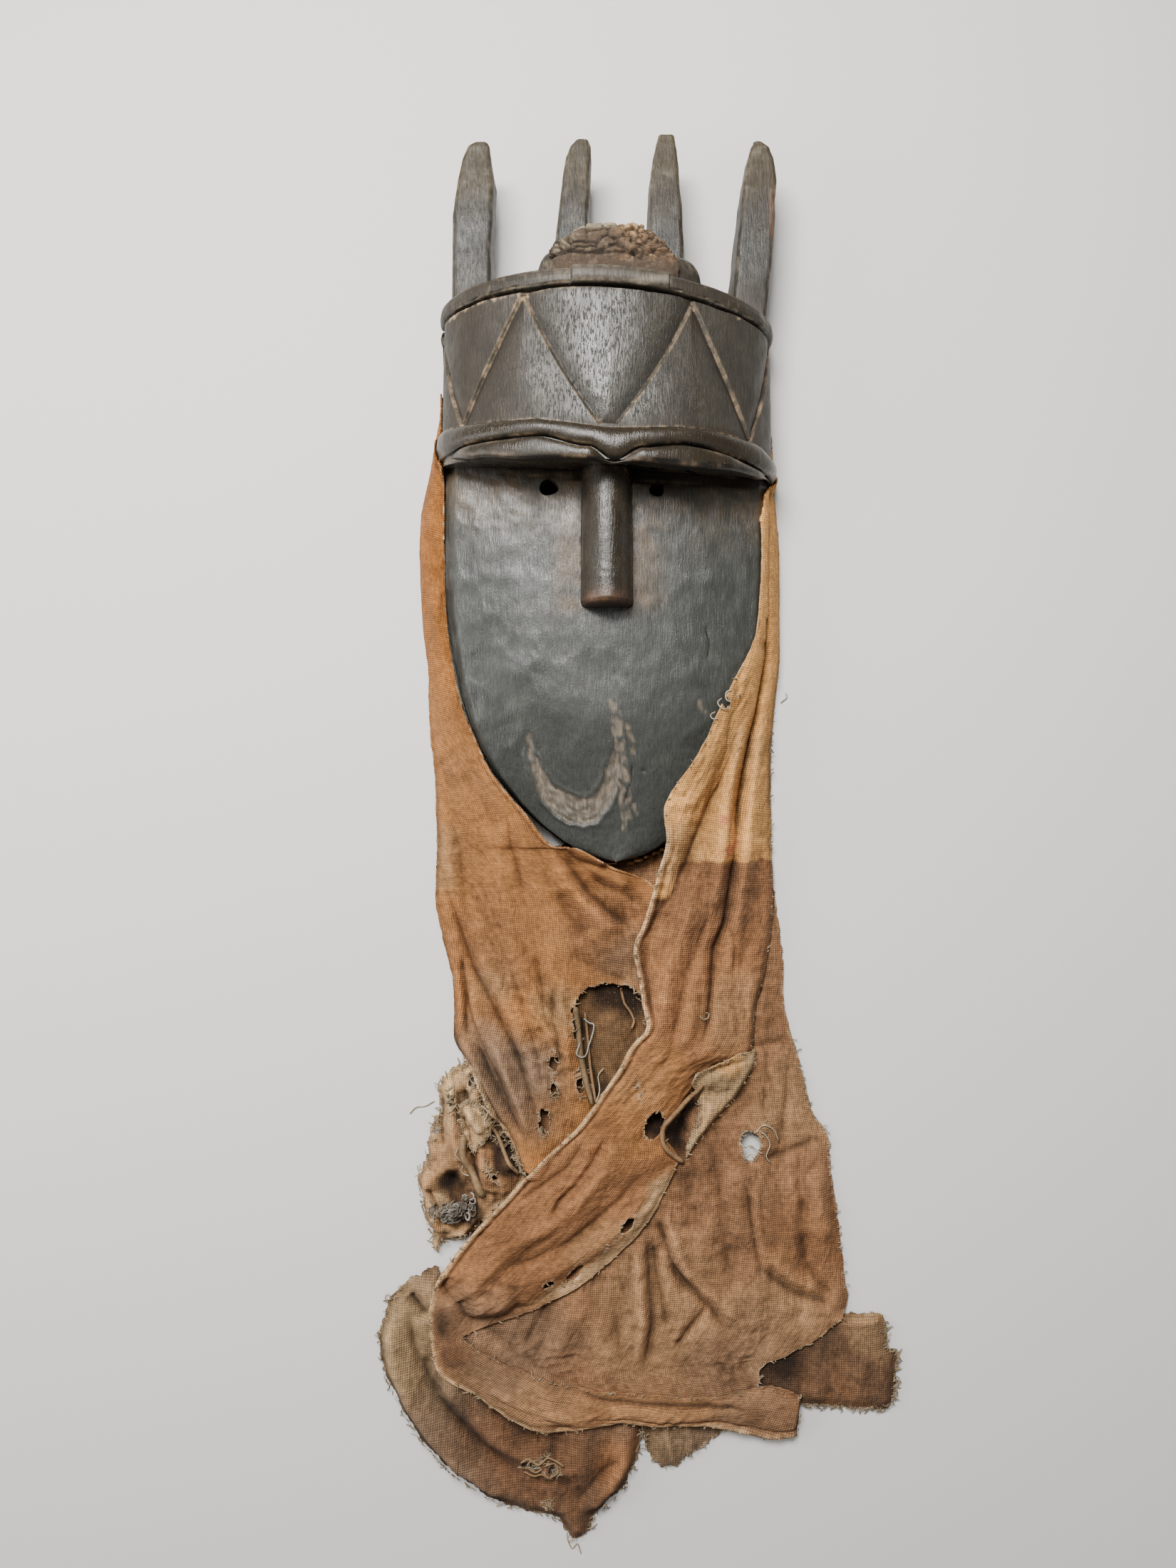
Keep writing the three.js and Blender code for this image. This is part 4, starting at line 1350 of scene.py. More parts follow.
class Patch:
    """A loose piece of cloth inside an outline; slack is how much longer it is laid flat than crumpled."""

    def __init__(self, outline, level, bulge=0.0, slack=1.0):
        self.outline = np.array(outline, float)
        self.low = self.outline.min(axis=0) - 4
        self.size = self.outline.max(axis=0) + 4 - self.low
        self.width, self.length = self.size
        self.level, self.bulge, self.slack = level, bulge, slack

    def at(self, u, v):
        x = self.low[0] + u * self.size[0]
        y = self.low[1] + (1 - v) * self.size[1]
        rise = ease(outline_gap(self.outline, x, y), 0, 16)
        return x, y, self.level + self.bulge * rise

    def flat(self, u, v):
        return (u - 0.5) * self.width * self.slack, v * self.length * self.slack

    def gaps(self, u, v):
        x, y, _ = self.at(u, v)
        return (outline_gap(self.outline, x, y),) * 4


# %% Folds and wrinkles
FOLD_GAIN = 1.35


def fold_height(x, y, folds):
    """Folds are (height, width on the right of travel, width on the left, line)."""
    total = np.zeros(np.shape(x))
    for height, right_width, left_width, line in folds:
        away, share = along_line(x, y, line)
        width = np.where(away > 0, left_width, right_width)
        power = 1.8 if height > 0 else 1.25
        shape = np.exp(-(np.abs(away) / width) ** power)
        total += FOLD_GAIN * height * away_from_ends(share, 0.2) * shape
    return total


def wrinkle_height(flat_x, flat_y, seed, amount):
    """Wrinkles that run along flat_y, some parts more rumpled than others."""
    points = np.column_stack([flat_x.ravel(), flat_y.ravel(), np.zeros(flat_x.size)])
    rumpled = 0.55 + 0.9 * ease(noise_at(points, 50, seed=seed + 6), -0.25, 0.35)
    points[:, 0] += 9 * noise_at(points, 60, seed=seed)
    long_folds = noise_at(points, 17, (1, 0.22, 1), seed + 1)
    creases = 1 - np.abs(noise_at(points, 10, (1, 0.35, 1), seed + 2)) * 4
    across = 1 - np.abs(noise_at(points, 12, (0.5, 1, 1), seed + 3)) * 4
    small = 1 - np.abs(noise_at(points, 7, (1, 0.7, 1), seed + 4)) * 4
    total = 3.2 * long_folds + rumpled * (0.5 * creases + 0.4 * across + 0.3 * small)
    return amount * total.reshape(flat_x.shape)


# %% Tears and holes
def tear_noise(x, y, seed):
    points = np.column_stack([x.ravel(), y.ravel(), np.full(x.size, seed)])
    rough = noise_at(points, 8, seed=seed) + 0.9 * noise_at(points, 2.6, seed=seed + 5)
    return (0.5 + 0.5 * rough).reshape(x.shape)


def hole_distance(x, y, holes, openings, seed):
    """Negative inside a hole (x, y, half width, half height, turn in degrees) or a drawn opening."""
    frayed = 2.2 * (tear_noise(x, y, seed) - 0.5)
    nearest = np.full(x.shape, 99.0)
    for outline in openings:
        nearest = np.minimum(nearest, 2 * frayed - outline_gap(outline, x, y))
    for middle_x, middle_y, half_x, half_y, turn in holes:
        cosine, sine = math.cos(math.radians(turn)), math.sin(math.radians(turn))
        across = ((x - middle_x) * cosine + (y - middle_y) * sine) / half_x
        along = ((y - middle_y) * cosine - (x - middle_x) * sine) / half_y
        nearest = np.minimum(nearest, (np.hypot(across, along) - 1) * min(half_x, half_y) + frayed)
    return nearest


# %% [markdown]
# ## Building one sheet
# `make_sheet` puts the three scales together on a fine grid, lays the sheet on the map, tears it and gives
# it a little thickness. It also stores a flat UV map in metres, which the weave follows, and a colour for
# each point. Worn cotton has pale frayed borders, and its valleys are darker from dirt and painted shade
# while its ridges get a painted highlight; all of these are worked out from the surface.

# %% Tearing a grid
def near_cloth(kept):
    """True where a point off the cloth has a neighbour on it."""
    return np.any(with_neighbours(kept > 0, "constant"), axis=0) & (kept <= 0)


def snap_to_tear(u, v, kept):
    """Move the points just outside the cloth onto its border."""
    rows, columns = kept.shape
    rise_row, rise_column = np.gradient(kept)
    slope = np.maximum(rise_row**2 + rise_column**2, 1e-6)
    step = np.where(near_cloth(kept), -kept / slope, 0)
    step_column = np.clip(step * rise_column, -0.8, 0.8)
    step_row = np.clip(step * rise_row, -0.8, 0.8)
    return np.clip(u + step_column / (columns - 1), 0, 1), np.clip(v + step_row / (rows - 1), 0, 1)


def border_distance(shape, u, v, ragged, seed):
    """Positive on cloth; ragged is the depth of the tear on the left, right, top and bottom."""
    torn = tear_noise(*shape.flat(u, v), seed)
    return np.min([gap - depth * torn for gap, depth in zip(shape.gaps(u, v), ragged)], axis=0)


# %% Sheet builder
THICKNESS = 1.3
FRAY_TONE = (0.60, 0.45, 0.28)
laid = {}


def thicken(piece, thickness):
    """Give a surface its thickness and keep the result as its mesh."""
    wall = piece.modifiers.new("thickness", "SOLIDIFY")
    wall.thickness = thickness * MM
    wall.offset = 0.0
    keep_result(piece)


def flat_quad(corners):
    """Area of a quad on the flat map, from its two diagonals."""
    return abs((corners[2] - corners[0]).cross(corners[3] - corners[1])) / 2


def build_cloth(name, size, points, flat, colours, gone):
    """The grid as a mesh, with its flat map and its dye and painted shade, without the faces that are torn
    away.
    """
    sheet = bmesh.new()
    bmesh.ops.create_grid(sheet, x_segments=size[1] - 1, y_segments=size[0] - 1, size=0.5)
    dye_and_shade = sheet.verts.layers.float_color.new("dye_and_shade")
    for corner, point, colour in zip(sheet.verts, to_frame(points), colours):
        corner.co = point
        corner[dye_and_shade] = (*colour, 1.0)
    uv = sheet.loops.layers.uv.new("cloth")
    for face in sheet.faces:
        for loop in face.loops:
            loop[uv].uv = flat[loop.vert.index]
    torn = [face for face in sheet.faces if any(gone[corner.index] for corner in face.verts)]
    bmesh.ops.delete(sheet, geom=torn, context="FACES")
    bmesh.ops.reverse_faces(sheet, faces=sheet.faces)
    cut = sum(flat_quad([loop[uv].uv for loop in face.loops]) for face in sheet.faces)
    print(f"{name}: flat area {cut:.4f} square metres")
    return mesh_object(name, sheet)


def four_sides(depths):
    """One depth for each side, given as one number or as left, right, top and bottom."""
    return depths if isinstance(depths, tuple) else (depths,) * 4


def weathered_and_shaded(colours, points, kept, z, seed, fuzzy):
    """Pale thin borders, dirt and painted shade in the valleys, and a painted highlight on the ridges."""
    worn_thin = ease(noise_at(points, 5, seed=seed + 7), -0.25, 0.4)
    worn_thin = worn_thin * ease(-noise_at(points, 1.8), -0.5, 0.3)
    if fuzzy:
        worn_thin = worn_thin * fuzzy(points[:, 0], points[:, 1])
    colours = tint(colours, FRAY_TONE, 0.6 * worn_thin * (1 - ease(kept.ravel(), 0.2, 2.2)))
    # cavity and valley: hollows darkened as dirt and painted shade, ridges lightened as painted highlight
    cavity = np.clip((soften(z, 14) - z).ravel() / 2.0, -1, 1)
    valley = np.clip((soften(z, 110) - z).ravel() / 5.0, -1, 1)
    shade = 1 - 0.42 * np.maximum(cavity, 0) + 0.2 * np.maximum(-cavity, 0)
    shade = shade * (1 - 0.42 * np.maximum(valley, 0) + 0.15 * np.maximum(-valley, 0))
    return colours * shade[:, None]


def make_sheet(name, shape, cell, look, folds=(), wrinkles=1.0, ragged=0, holes=(), drop=0, hem=None,
               gap=1.0, seed=1.0, openings=(), hang=None, fuzzy=None):
    """One layer of the cape: bent, laid on what is there, torn, coloured and thickened."""
    columns = max(round(shape.width / cell), 8)
    rows = max(round(shape.length / cell), 8)
    u, v = np.meshgrid(np.linspace(0, 1, columns + 1), np.linspace(0, 1, rows + 1))
    x, y, _ = shape.at(u, v)
    kept = border_distance(shape, u, v, four_sides(ragged), seed)
    kept = np.minimum(kept, hole_distance(x, y, holes, openings, seed + 2))
    on_border = near_cloth(kept)
    u, v = snap_to_tear(u, v, kept)
    x, y, z = shape.at(u, v)
    flat_x, flat_y = shape.flat(u, v)
    gaps = shape.gaps(u, v)
    run_x, run_y = flat_x, flat_y
    if hang is not None:
        turn = math.radians(hang)
        run_x = x * math.cos(turn) + y * math.sin(turn)
        run_y = y * math.cos(turn) - x * math.sin(turn)
    z = z + fold_height(x, y, folds) + wrinkle_height(run_x, run_y, seed, wrinkles)
    ground = ground_under(x, y)
    free = np.ones(u.shape)
    for side, reach in zip(gaps, four_sides(drop)):
        reach = reach(x, y) if callable(reach) else reach
        if np.any(reach):
            free = np.minimum(free, ease(side, -0.5, reach))
    curl = 1.6 * np.abs(tear_noise(x, y, seed + 9) - 0.4)
    z = mix(np.minimum(ground + gap + curl, z), z, free)
    if hem:
        z = z + hem(gaps, v)
    short = ground + gap + THICKNESS / 2 - z
    z = z + np.where(short < 16, np.maximum(short, 0), 0)
    place = {"x": x.ravel(), "y": y.ravel(), "left": gaps[0].ravel(), "right": gaps[1].ravel()}
    place["points"] = np.column_stack([x.ravel(), y.ravel(), z.ravel()])
    colours = weathered_and_shaded(look(place), place["points"], kept, z, seed, fuzzy)
    gone = ((kept <= 0) & ~on_border).ravel()
    flat = np.column_stack([flat_x.ravel(), flat_y.ravel()]) * MM
    piece = build_cloth(name, u.shape, place["points"], flat, colours, gone)
    laid[name] = np.dstack([x, y, z]), kept
    lay_down(place["points"][~gone] + [0, 0, THICKNESS / 2])
    thicken(piece, THICKNESS)
    piece.data.shade_smooth()
    dress(piece, cotton)
    print(f"{name}: {shape.width * shape.slack:.0f} by {shape.length * shape.slack:.0f} mm laid flat")
    return piece


# %% [markdown]
# ## Loose threads
# Torn cotton ends in loose threads. Each is a thin tube of a few faces that starts on a torn border and runs
# outwards, bending a little. Its height is asked from the same map, so threads lie on whatever is there. A
# seeded chooser picks the places, so they are the same in every run. Drawn loops and strips use the same
# tube.

# %% Threads
trims = {}


def thread_mesh(name, lines, sizes, colours):
    """Four-sided tubes in one mesh; a size is (half width, half height) in millimetres."""
    shape = bmesh.new()
    dye_and_shade = shape.verts.layers.float_color.new("dye_and_shade")
    for line, (half_width, half_height), colour in zip(lines, sizes, colours):
        line = np.asarray(line, float)
        made = bmesh.ops.create_grid(shape, x_segments=4, y_segments=len(line) - 1, size=0.5)["verts"]
        flat = np.array([corner.co for corner in made])
        angle = 2 * np.pi * (flat[:, 0] + 0.5)
        row = np.round((flat[:, 1] + 0.5) * (len(line) - 1)).astype(int)
        way = np.gradient(line, axis=0)[row]
        side = np.column_stack([-way[:, 1], way[:, 0], way[:, 0] * 0])
        side /= np.maximum(np.linalg.norm(side, axis=1), 1e-6)[:, None]
        taper = np.where((row == 0) | (row == len(line) - 1), 0.6, 1.0)
        points = line[row] + side * (half_width * taper * np.cos(angle))[:, None]
        points[:, 2] += half_height * taper * np.sin(angle)
        for corner, point in zip(made, to_frame(points)):
            corner.co = point
            corner[dye_and_shade] = (*colour, 1.0)
    bmesh.ops.remove_doubles(shape, verts=shape.verts, dist=1e-6)
    bmesh.ops.holes_fill(shape, edges=shape.edges, sides=0)
    bmesh.ops.recalc_face_normals(shape, faces=shape.faces)
    piece = mesh_object(name, shape)
    piece.data.shade_smooth()
    dress(piece, cotton)
    return piece


def on_ground(line, lift):
    """Lay a line of x and y on what is there; lift is one number or one for each point."""
    line = np.asarray(line, float)
    return np.column_stack([line, ground_under(line[:, 0], line[:, 1]) + lift])


def fray(name, count, reach, seed, where=None):
    """Loose threads along the torn borders of a sheet."""
    chance = random.Random(seed)
    points, kept = laid[name]
    slope_row, slope_column = np.gradient(kept)
    step_row, step_column = np.gradient(points[..., :2], axis=(0, 1))
    torn = np.abs(kept) < 1.2
    if where:
        torn &= where(points[..., 0], points[..., 1])
    rows, columns = np.nonzero(torn)
    lines, colours, sizes = [], [], []
    for pick in chance.sample(range(len(rows)), min(count, len(rows))):
        place = rows[pick], columns[pick]
        way = -(slope_row[place] * step_row[place] + slope_column[place] * step_column[place])
        turn = math.atan2(way[1], way[0]) + chance.gauss(0, 0.7)
        bend = chance.gauss(0, 0.45)
        step = reach * chance.uniform(0.25, 1.0) / 5
        line = [points[place][:2] - 1.5 * np.array([math.cos(turn), math.sin(turn)])]
        for _ in range(5):
            line.append(line[-1] + step * np.array([math.cos(turn), math.sin(turn)]))
            turn += bend
        lines.append(on_ground(line, np.linspace(0.1, 0.1 + chance.uniform(0, 1.6), 6)))
        colours.append(np.array(FRAY_TONE) * chance.uniform(0.5, 1.1))
        sizes.append((chance.uniform(0.28, 0.55),) * 2)
    trims.setdefault(name, []).append(thread_mesh(f"{name}_fray", lines, sizes, colours))


# %% [markdown]
# ## Dye and painted shade
# The old dye is orange brown at the left, pale tan on the right flap down to a sharp line, and greyer brown
# low down, where the cloth lay in dirt. Each sheet has a ground colour and a few soft patches of another
# one. The SHADE patches are no dye but painted shadow in pockets, holes and deep folds.

# %% Dyes and painted shade
ORANGE_BROWN = (0.370, 0.155, 0.044)
WARM_BROWN = (0.275, 0.124, 0.052)
DEEP_BROWN = (0.165, 0.080, 0.040)
GREY_BROWN = (0.205, 0.128, 0.078)
DUSTY_TAN = (0.410, 0.240, 0.118)
PALE_TAN = (0.600, 0.300, 0.098)
OLIVE_TAN = (0.320, 0.210, 0.108)
SHADED_INNER_BROWN = (0.130, 0.072, 0.034)
SHADE = (0.022, 0.013, 0.009)
TORN_TAN = (0.450, 0.290, 0.150)
HEM_TAN = (0.640, 0.420, 0.220)
BURNT_ORANGE = (0.310, 0.115, 0.026)
ROSE = (0.560, 0.120, 0.100)


def patches_of_dye_and_shade(place, ground, patches, seed=0.0):
    """Ground colour with soft patches of (colour, x, y, reach, strength); SHADE patches are painted shadow."""
    shift = 14 * noise_at(place["points"], 30, seed=seed + 40)
    colours = np.tile(ground, (len(shift), 1))
    for colour, x, y, reach, strength in patches:
        away = np.hypot(place["x"] - x, place["y"] - y) + shift
        colours = tint(colours, colour, strength * (1 - ease(away, 0.35 * reach, 1.3 * reach)))
    return colours


# %% [markdown]
# ## Lower layers
# The first sheets lie on the ground: the rounded corner at the lower left, a small grey scrap and a tab that
# stick out below, and the wide layer behind everything. They are laid first, so that the flaps can rest on
# them.

# %% Corner, scrap and tab
CORNER = [
    (-128, -366), (-150, -374), (-166, -390), (-175, -417), (-172, -445), (-160, -470), (-142, -500),
    (-118, -525), (-90, -545), (-60, -556), (-38, -560), (-27, -578), (-12, -574), (-8, -558), (14, -538),
    (26, -512), (30, -486), (20, -470), (-40, -440), (-100, -400),
]
SCRAP = [(22, -470), (25, -492), (33, -514), (40, -523), (54, -521), (66, -512), (92, -494), (96, -476)]
TAB = [
    (105, -425), (135, -400), (168, -404), (190, -402), (212, -402), (216, -428), (224, -430), (221, -470),
    (214, -478), (180, -476), (150, -474), (120, -462), (104, -450),
]


def corner_look(place):
    patches = [
        (OLIVE_TAN, -150, -420, 60, 0.7), (DEEP_BROWN, -60, -490, 60, 0.85),
        (DEEP_BROWN, -20, -535, 70, 0.8), (GREY_BROWN, -110, -440, 30, 0.6), (WARM_BROWN, 10, -510, 26, 0.8),
        (SHADE, -143, -394, 10, 0.9), (SHADE, -110, -470, 14, 0.45), (SHADE, -62, -490, 12, 0.5),
        (SHADE, -43, -503, 12, 0.6),
    ]
    return patches_of_dye_and_shade(place, np.array(GREY_BROWN) * 0.8, patches, 1.0)


def scrap_look(place):
    return patches_of_dye_and_shade(place, GREY_BROWN, [(OLIVE_TAN, 40, -505, 26, 0.5)], 2.0)


def tab_look(place):
    patches = [
        (DUSTY_TAN, 202, -412, 26, 0.7), (SHADE, 128, -438, 24, 0.95), (WARM_BROWN, 175, -460, 30, 0.3),
    ]
    return patches_of_dye_and_shade(place, mix(np.array(GREY_BROWN), np.array(DEEP_BROWN), 0.6) * 0.72, patches, 3.0)


corner_folds = [
    (6.0, 9, 12, [(-160, -392), (-164, -430), (-148, -474), (-112, -514), (-70, -545)]),
    (-6.0, 7, 8, [(-150, -385), (-146, -425), (-128, -464), (-94, -500), (-56, -526)]),
    (4.0, 6, 9, [(-128, -420), (-116, -462), (-84, -496), (-44, -515), (0, -520)]),
    (-4.0, 4, 6, [(-110, -440), (-92, -470), (-60, -492), (-24, -500)]),
    (-4.0, 4, 6, [(-24, -545), (-6, -524), (14, -508)]),
    (4.0, 5, 5, [(-12, -552), (6, -530), (20, -508)]),
    (7.0, 4, 6, [(-172, -398), (-158, -380), (-132, -371)]),
    (-7.0, 6, 6, [(-150, -386), (-142, -394), (-136, -404)]),
]
tab_folds = [(4.5, 4, 3, [(140, -404), (170, -407), (214, -406)]), (2.0, 10, 10, [(160, -440), (200, -450)])]
scrap_folds = [
    (2.2, 2, 2, [(44, -480), (48, -502), (52, -520)]),
    (2.0, 2, 3, [(60, -480), (64, -500), (62, -514)]),
]

CORNER_HOLES = [
    (-57, -511, 7, 3.4, 20), (-41, -515, 6, 3, -10), (-47, -506, 3, 2, 0), (-45, -543, 4.5, 2.4, 30),
]

corner = make_sheet("corner", Patch(CORNER, 4.0, 8.0), 1.5, corner_look, corner_folds, 1.1,
                    ragged=4, holes=CORNER_HOLES, drop=12, seed=11.0)
scrap = make_sheet("scrap", Patch(SCRAP, 2.0, 1.5), 1.4, scrap_look, scrap_folds, 0.5,
                   ragged=5, drop=6, seed=12.0)
tab = make_sheet("tab", Patch(TAB, 3.0, 4.0), 1.4, tab_look, tab_folds, 0.7,
                 ragged=3, drop=9, seed=13.0)

fray("corner", 230, 9, 1, lambda x, y: y < -380)
fray("scrap", 30, 6, 2, lambda x, y: y < -488)
fray("tab", 150, 8, 3, lambda x, y: (x > 135) & (y < -410))

# %% Wide layer
WIDE_ROWS = [
    (-49, -49, 3, 124, -20, 3), (-60, -90, 5, 129, -80, 3), (-70, -130, 5, 136, -130, 3),
    (-78, -170, 5, 137, -170, 3), (-83, -215, 5, 149, -212, 3), (-86, -250, 5, 158, -247, 3),
    (-88, -275, 5, 170, -268, 3), (-92, -300, 5, 172, -290, 3), (-100, -335, 5, 178, -330, 4),
    (-112, -370, 5, 182, -368, 5), (-118, -400, 5, 185, -397, 5), (-116, -425, 5, 170, -413, 5),
    (-106, -442, 5, 140, -431, 5), (-90, -458, 5, 120, -440, 4), (-70, -470, 5, 118, -460, 3),
    (-55, -478, 5, 120, -478, 3),
]
WIDE_FOLDS = [
    (-4.5, 3, 5, [(37, -326), (44, -343), (49, -361), (56, -375), (61, -390)]),
    (3.0, 5, 3, [(44, -322), (52, -343), (58, -361), (66, -378)]),
    (-3.0, 2.5, 4, [(34, -338), (39, -375), (44, -399), (47, -418)]),
    (-6.0, 2.5, 6, [(30, -338), (32, -375), (34, -410), (31, -429), (27, -447)]),
    (3.0, 3, 7, [(22, -345), (24, -380), (27, -410), (22, -440)]),
    (-5.0, 3, 7, [(44, -362), (65, -384), (79, -398), (92, -416)]),
    (3.0, 4, 4, [(54, -362), (74, -382), (90, -396), (104, -410)]),
    (-3.5, 3, 4, [(77, -394), (63, -412), (50, -428)]),
    (-2.2, 1.5, 4, [(107, -300), (109, -329), (114, -357), (118, -382)]),
    (2.2, 3, 3, [(112, -300), (114, -329), (119, -357), (123, -376)]),
    (-4.0, 4, 7, [(116, -361), (126, -375), (142, -387), (156, -392), (174, -397)]),
    (3.2, 5, 5, [(120, -350), (132, -366), (148, -378), (166, -384)]),
    (-3.5, 4, 6, [(147, -338), (151, -361), (161, -380), (176, -390)]),
    (-2.6, 2.5, 3, [(118, -286), (147, -276), (171, -267)]),
    (-2.4, 3, 4, [(138, -205), (137, -235), (134, -259), (130, -285)]),
    (-2.0, 3, 4, [(123, -195), (121, -233), (118, -252)]),
    (-3.2, 2.5, 4, [(-44, -389), (-54, -410), (-64, -428)]),
    (-2.5, 9, 10, [(9, -361), (7, -389), (9, -417), (14, -441)]),
    (2.6, 9, 8, [(-26, -392), (-8, -412), (4, -438)]),
    (-3.0, 6, 7, [(56, -289), (63, -310), (60, -343)]),
    (-3.0, 8, 9, [(79, -262), (82, -289), (88, -324), (91, -361), (104, -385)]),
    (3.4, 8, 9, [(96, -285), (99, -320), (101, -350)]),
    (-2.8, 3, 4, [(106, -200), (124, -197), (142, -194)]),
    (-2.2, 3, 4, [(131, -160), (128, -176), (120, -190)]),
    (3.0, 7, 7, [(158, -290), (163, -320), (168, -350)]),
    (3.0, 10, 12, [(0, -165), (2, -200), (6, -240)]),
    (-7.0, 6, 6, [(68, -228), (60, -248), (54, -268), (56, -284)]),
]
WIDE_HOLES = [(109, -273, 7.5, 11, 5), (119, -262, 2.0, 5, -30)]


def wide_look(place):
    patches = [
        # the cloth under the big opening is darkened as painted shade; the SHADE patches are painted shadow in
        # holes and folds
        (SHADED_INNER_BROWN, 0, -200, 60, 0.98), (SHADE, 8, -158, 22, 0.95), (SHADE, -20, -185, 12, 0.8),
        (SHADE, -2, -232, 14, 0.75), (SHADE, 68, -230, 9, 0.97), (SHADE, 62, -244, 12, 0.97),
        (SHADE, 57, -260, 13, 0.97), (SHADE, 55, -274, 10, 0.97), (SHADE, 37, -255, 16, 0.97),
        (SHADE, 136, -443, 12, 0.9), (SHADE, 16, -330, 12, 0.9), (SHADE, -24, -368, 10, 0.9),
        (SHADE, -44, -377, 8, 0.9), (SHADE, -112, -420, 14, 0.8), (DUSTY_TAN, 150, -240, 40, 0.45),
        (DUSTY_TAN, 40, -400, 60, 0.4), (DUSTY_TAN, 130, -410, 45, 0.5), (DEEP_BROWN, 70, -290, 30, 0.45),
        (GREY_BROWN, -70, -420, 50, 0.6), (GREY_BROWN, 100, -440, 40, 0.4), (WARM_BROWN, 160, -350, 40, 0.6),
    ]
    return patches_of_dye_and_shade(place, mix(np.array(WARM_BROWN), np.array(GREY_BROWN), 0.35), patches, 4.0)


wide_layer = make_sheet("wide_layer", Rows(WIDE_ROWS, 7.0), 1.9, wide_look, WIDE_FOLDS, 1.1,
                        ragged=(0, 2.5, 0, 0), holes=WIDE_HOLES, drop=(10, 16, 0, 10), seed=21.0)
fray("wide_layer", 110, 6, 4, lambda x, y: (x > 60) & (y < -190))

# %% [markdown]
# ## Tatter
# Beside the left flap hangs a crumpled tatter, pale and frayed, with a dark pocket in it. It is a patch with
# strong folds, and the pocket is a deep valley between them, darkened further with painted shade. A smaller
# rag lies over its upper half. The knot in the pocket is a heap of curled threads, and comes with the other
# drawn threads.

# %% Tatter
TATTER = [
    (-104, -200), (-112, -212), (-124, -216), (-130, -230), (-128, -246), (-136, -262), (-138, -282),
    (-146, -298), (-141, -316), (-139, -334), (-133, -342), (-135, -354), (-128, -360), (-121, -348),
    (-108, -346), (-98, -340), (-76, -318), (-58, -300), (-62, -286), (-70, -262), (-82, -240), (-94, -216),
    (-100, -204),
]
TATTER_FOLDS = [
    (6.0, 4, 5, [(-100, -214), (-98, -246), (-94, -276), (-88, -312)]),
    (-6.0, 3, 4, [(-106, -222), (-106, -250), (-100, -280), (-96, -305)]),
    (5.0, 4, 5, [(-113, -214), (-116, -240), (-114, -266), (-106, -290)]),
    (-5.0, 4, 3, [(-122, -232), (-124, -256), (-122, -276)]),
    (-10.0, 10, 10, [(-124, -290), (-112, -302), (-100, -314), (-108, -330), (-122, -322)]),
    (6.0, 3, 5, [(-134, -286), (-136, -310), (-128, -334), (-112, -340)]),
    (-6.0, 3, 3, [(-88, -236), (-82, -262), (-74, -284)]),
    (5.0, 3, 3, [(-82, -256), (-78, -276), (-70, -292)]),
    (-5.0, 2.5, 3, [(-118, -214), (-112, -234), (-110, -258)]),
    (5.0, 3, 3, [(-128, -240), (-132, -262), (-130, -284)]),
    (-6.0, 3, 3, [(-136, -300), (-128, -318), (-120, -344)]),
    (6.0, 3, 4, [(-96, -322), (-108, -340), (-124, -348)]),
]


def tatter_look(place):
    patches = [
        (OLIVE_TAN, -125, -240, 30, 0.6), (TORN_TAN, -104, -225, 16, 0.6), (WARM_BROWN, -90, -280, 34, 0.6),
        (SHADE, -80, -264, 9, 0.85), (SHADE, -76, -284, 9, 0.9), (SHADE, -98, -296, 12, 0.95),
        (SHADE, -116, -293, 9, 0.9), (SHADE, -100, -326, 10, 0.9), (SHADE, -112, -306, 10, 0.8),
        (SHADE, -121, -262, 5, 0.6), (TORN_TAN, -136, -320, 12, 0.7), (TORN_TAN, -122, -350, 13, 0.7),
    ]
    frayed_rim = 1 - ease(place["left"] + 4 * noise_at(place["points"], 5, seed=56.0), 1, 6)
    colours = patches_of_dye_and_shade(place, mix(np.array(DUSTY_TAN), np.array(WARM_BROWN), 0.25), patches, 5.0)
    return tint(colours, HEM_TAN, 0.6 * frayed_rim)


TATTER_HOLES = [
    (-90, -246, 3, 9, 20), (-101, -222, 2.4, 5, 0), (-79, -268, 2.2, 6, 25), (-128, -262, 2, 4, 0),
    (-86, -290, 2, 7, 30), (-131, -322, 2.4, 5, -10), (-116, -236, 1.8, 6, 5),
]

tatter = make_sheet("tatter", Patch(TATTER, 8.0, 8.0, 1.2), 1.25, tatter_look, TATTER_FOLDS, 1.6,
                    ragged=6, holes=TATTER_HOLES, drop=8, seed=31.0)
fray("tatter", 230, 9, 5)

RAG = [
    (-111, -238), (-103, -234), (-94, -236), (-85, -248), (-85, -262), (-93, -268), (-99, -276),
    (-106, -268), (-111, -254),
]
RAG_FOLDS = [
    (4.0, 3, 3, [(-106, -238), (-98, -250), (-92, -262)]),
    (-4.0, 2.5, 3, [(-108, -246), (-103, -258), (-99, -270)]),
    (3.5, 2.5, 3, [(-98, -238), (-90, -248), (-88, -258)]),
]


def rag_look(place):
    return patches_of_dye_and_shade(place, TORN_TAN, [(DUSTY_TAN, -100, -262, 14, 0.7)], 5.5)


rag = make_sheet("rag", Patch(RAG, 21.0, 5.0, 1.15), 1.1, rag_look, RAG_FOLDS, 1.2,
                 ragged=3, drop=4, seed=33.0)
fray("rag", 90, 6, 9)

# %% [markdown]
# ## Left flap
# The left flap starts behind the rim beside the forehead, runs down the side of the face and spreads below
# the chin. Its upper edge under the chin is a rolled, stitched hem. Long straight folds run down its left
# half, and a big hole is worn through near the middle.

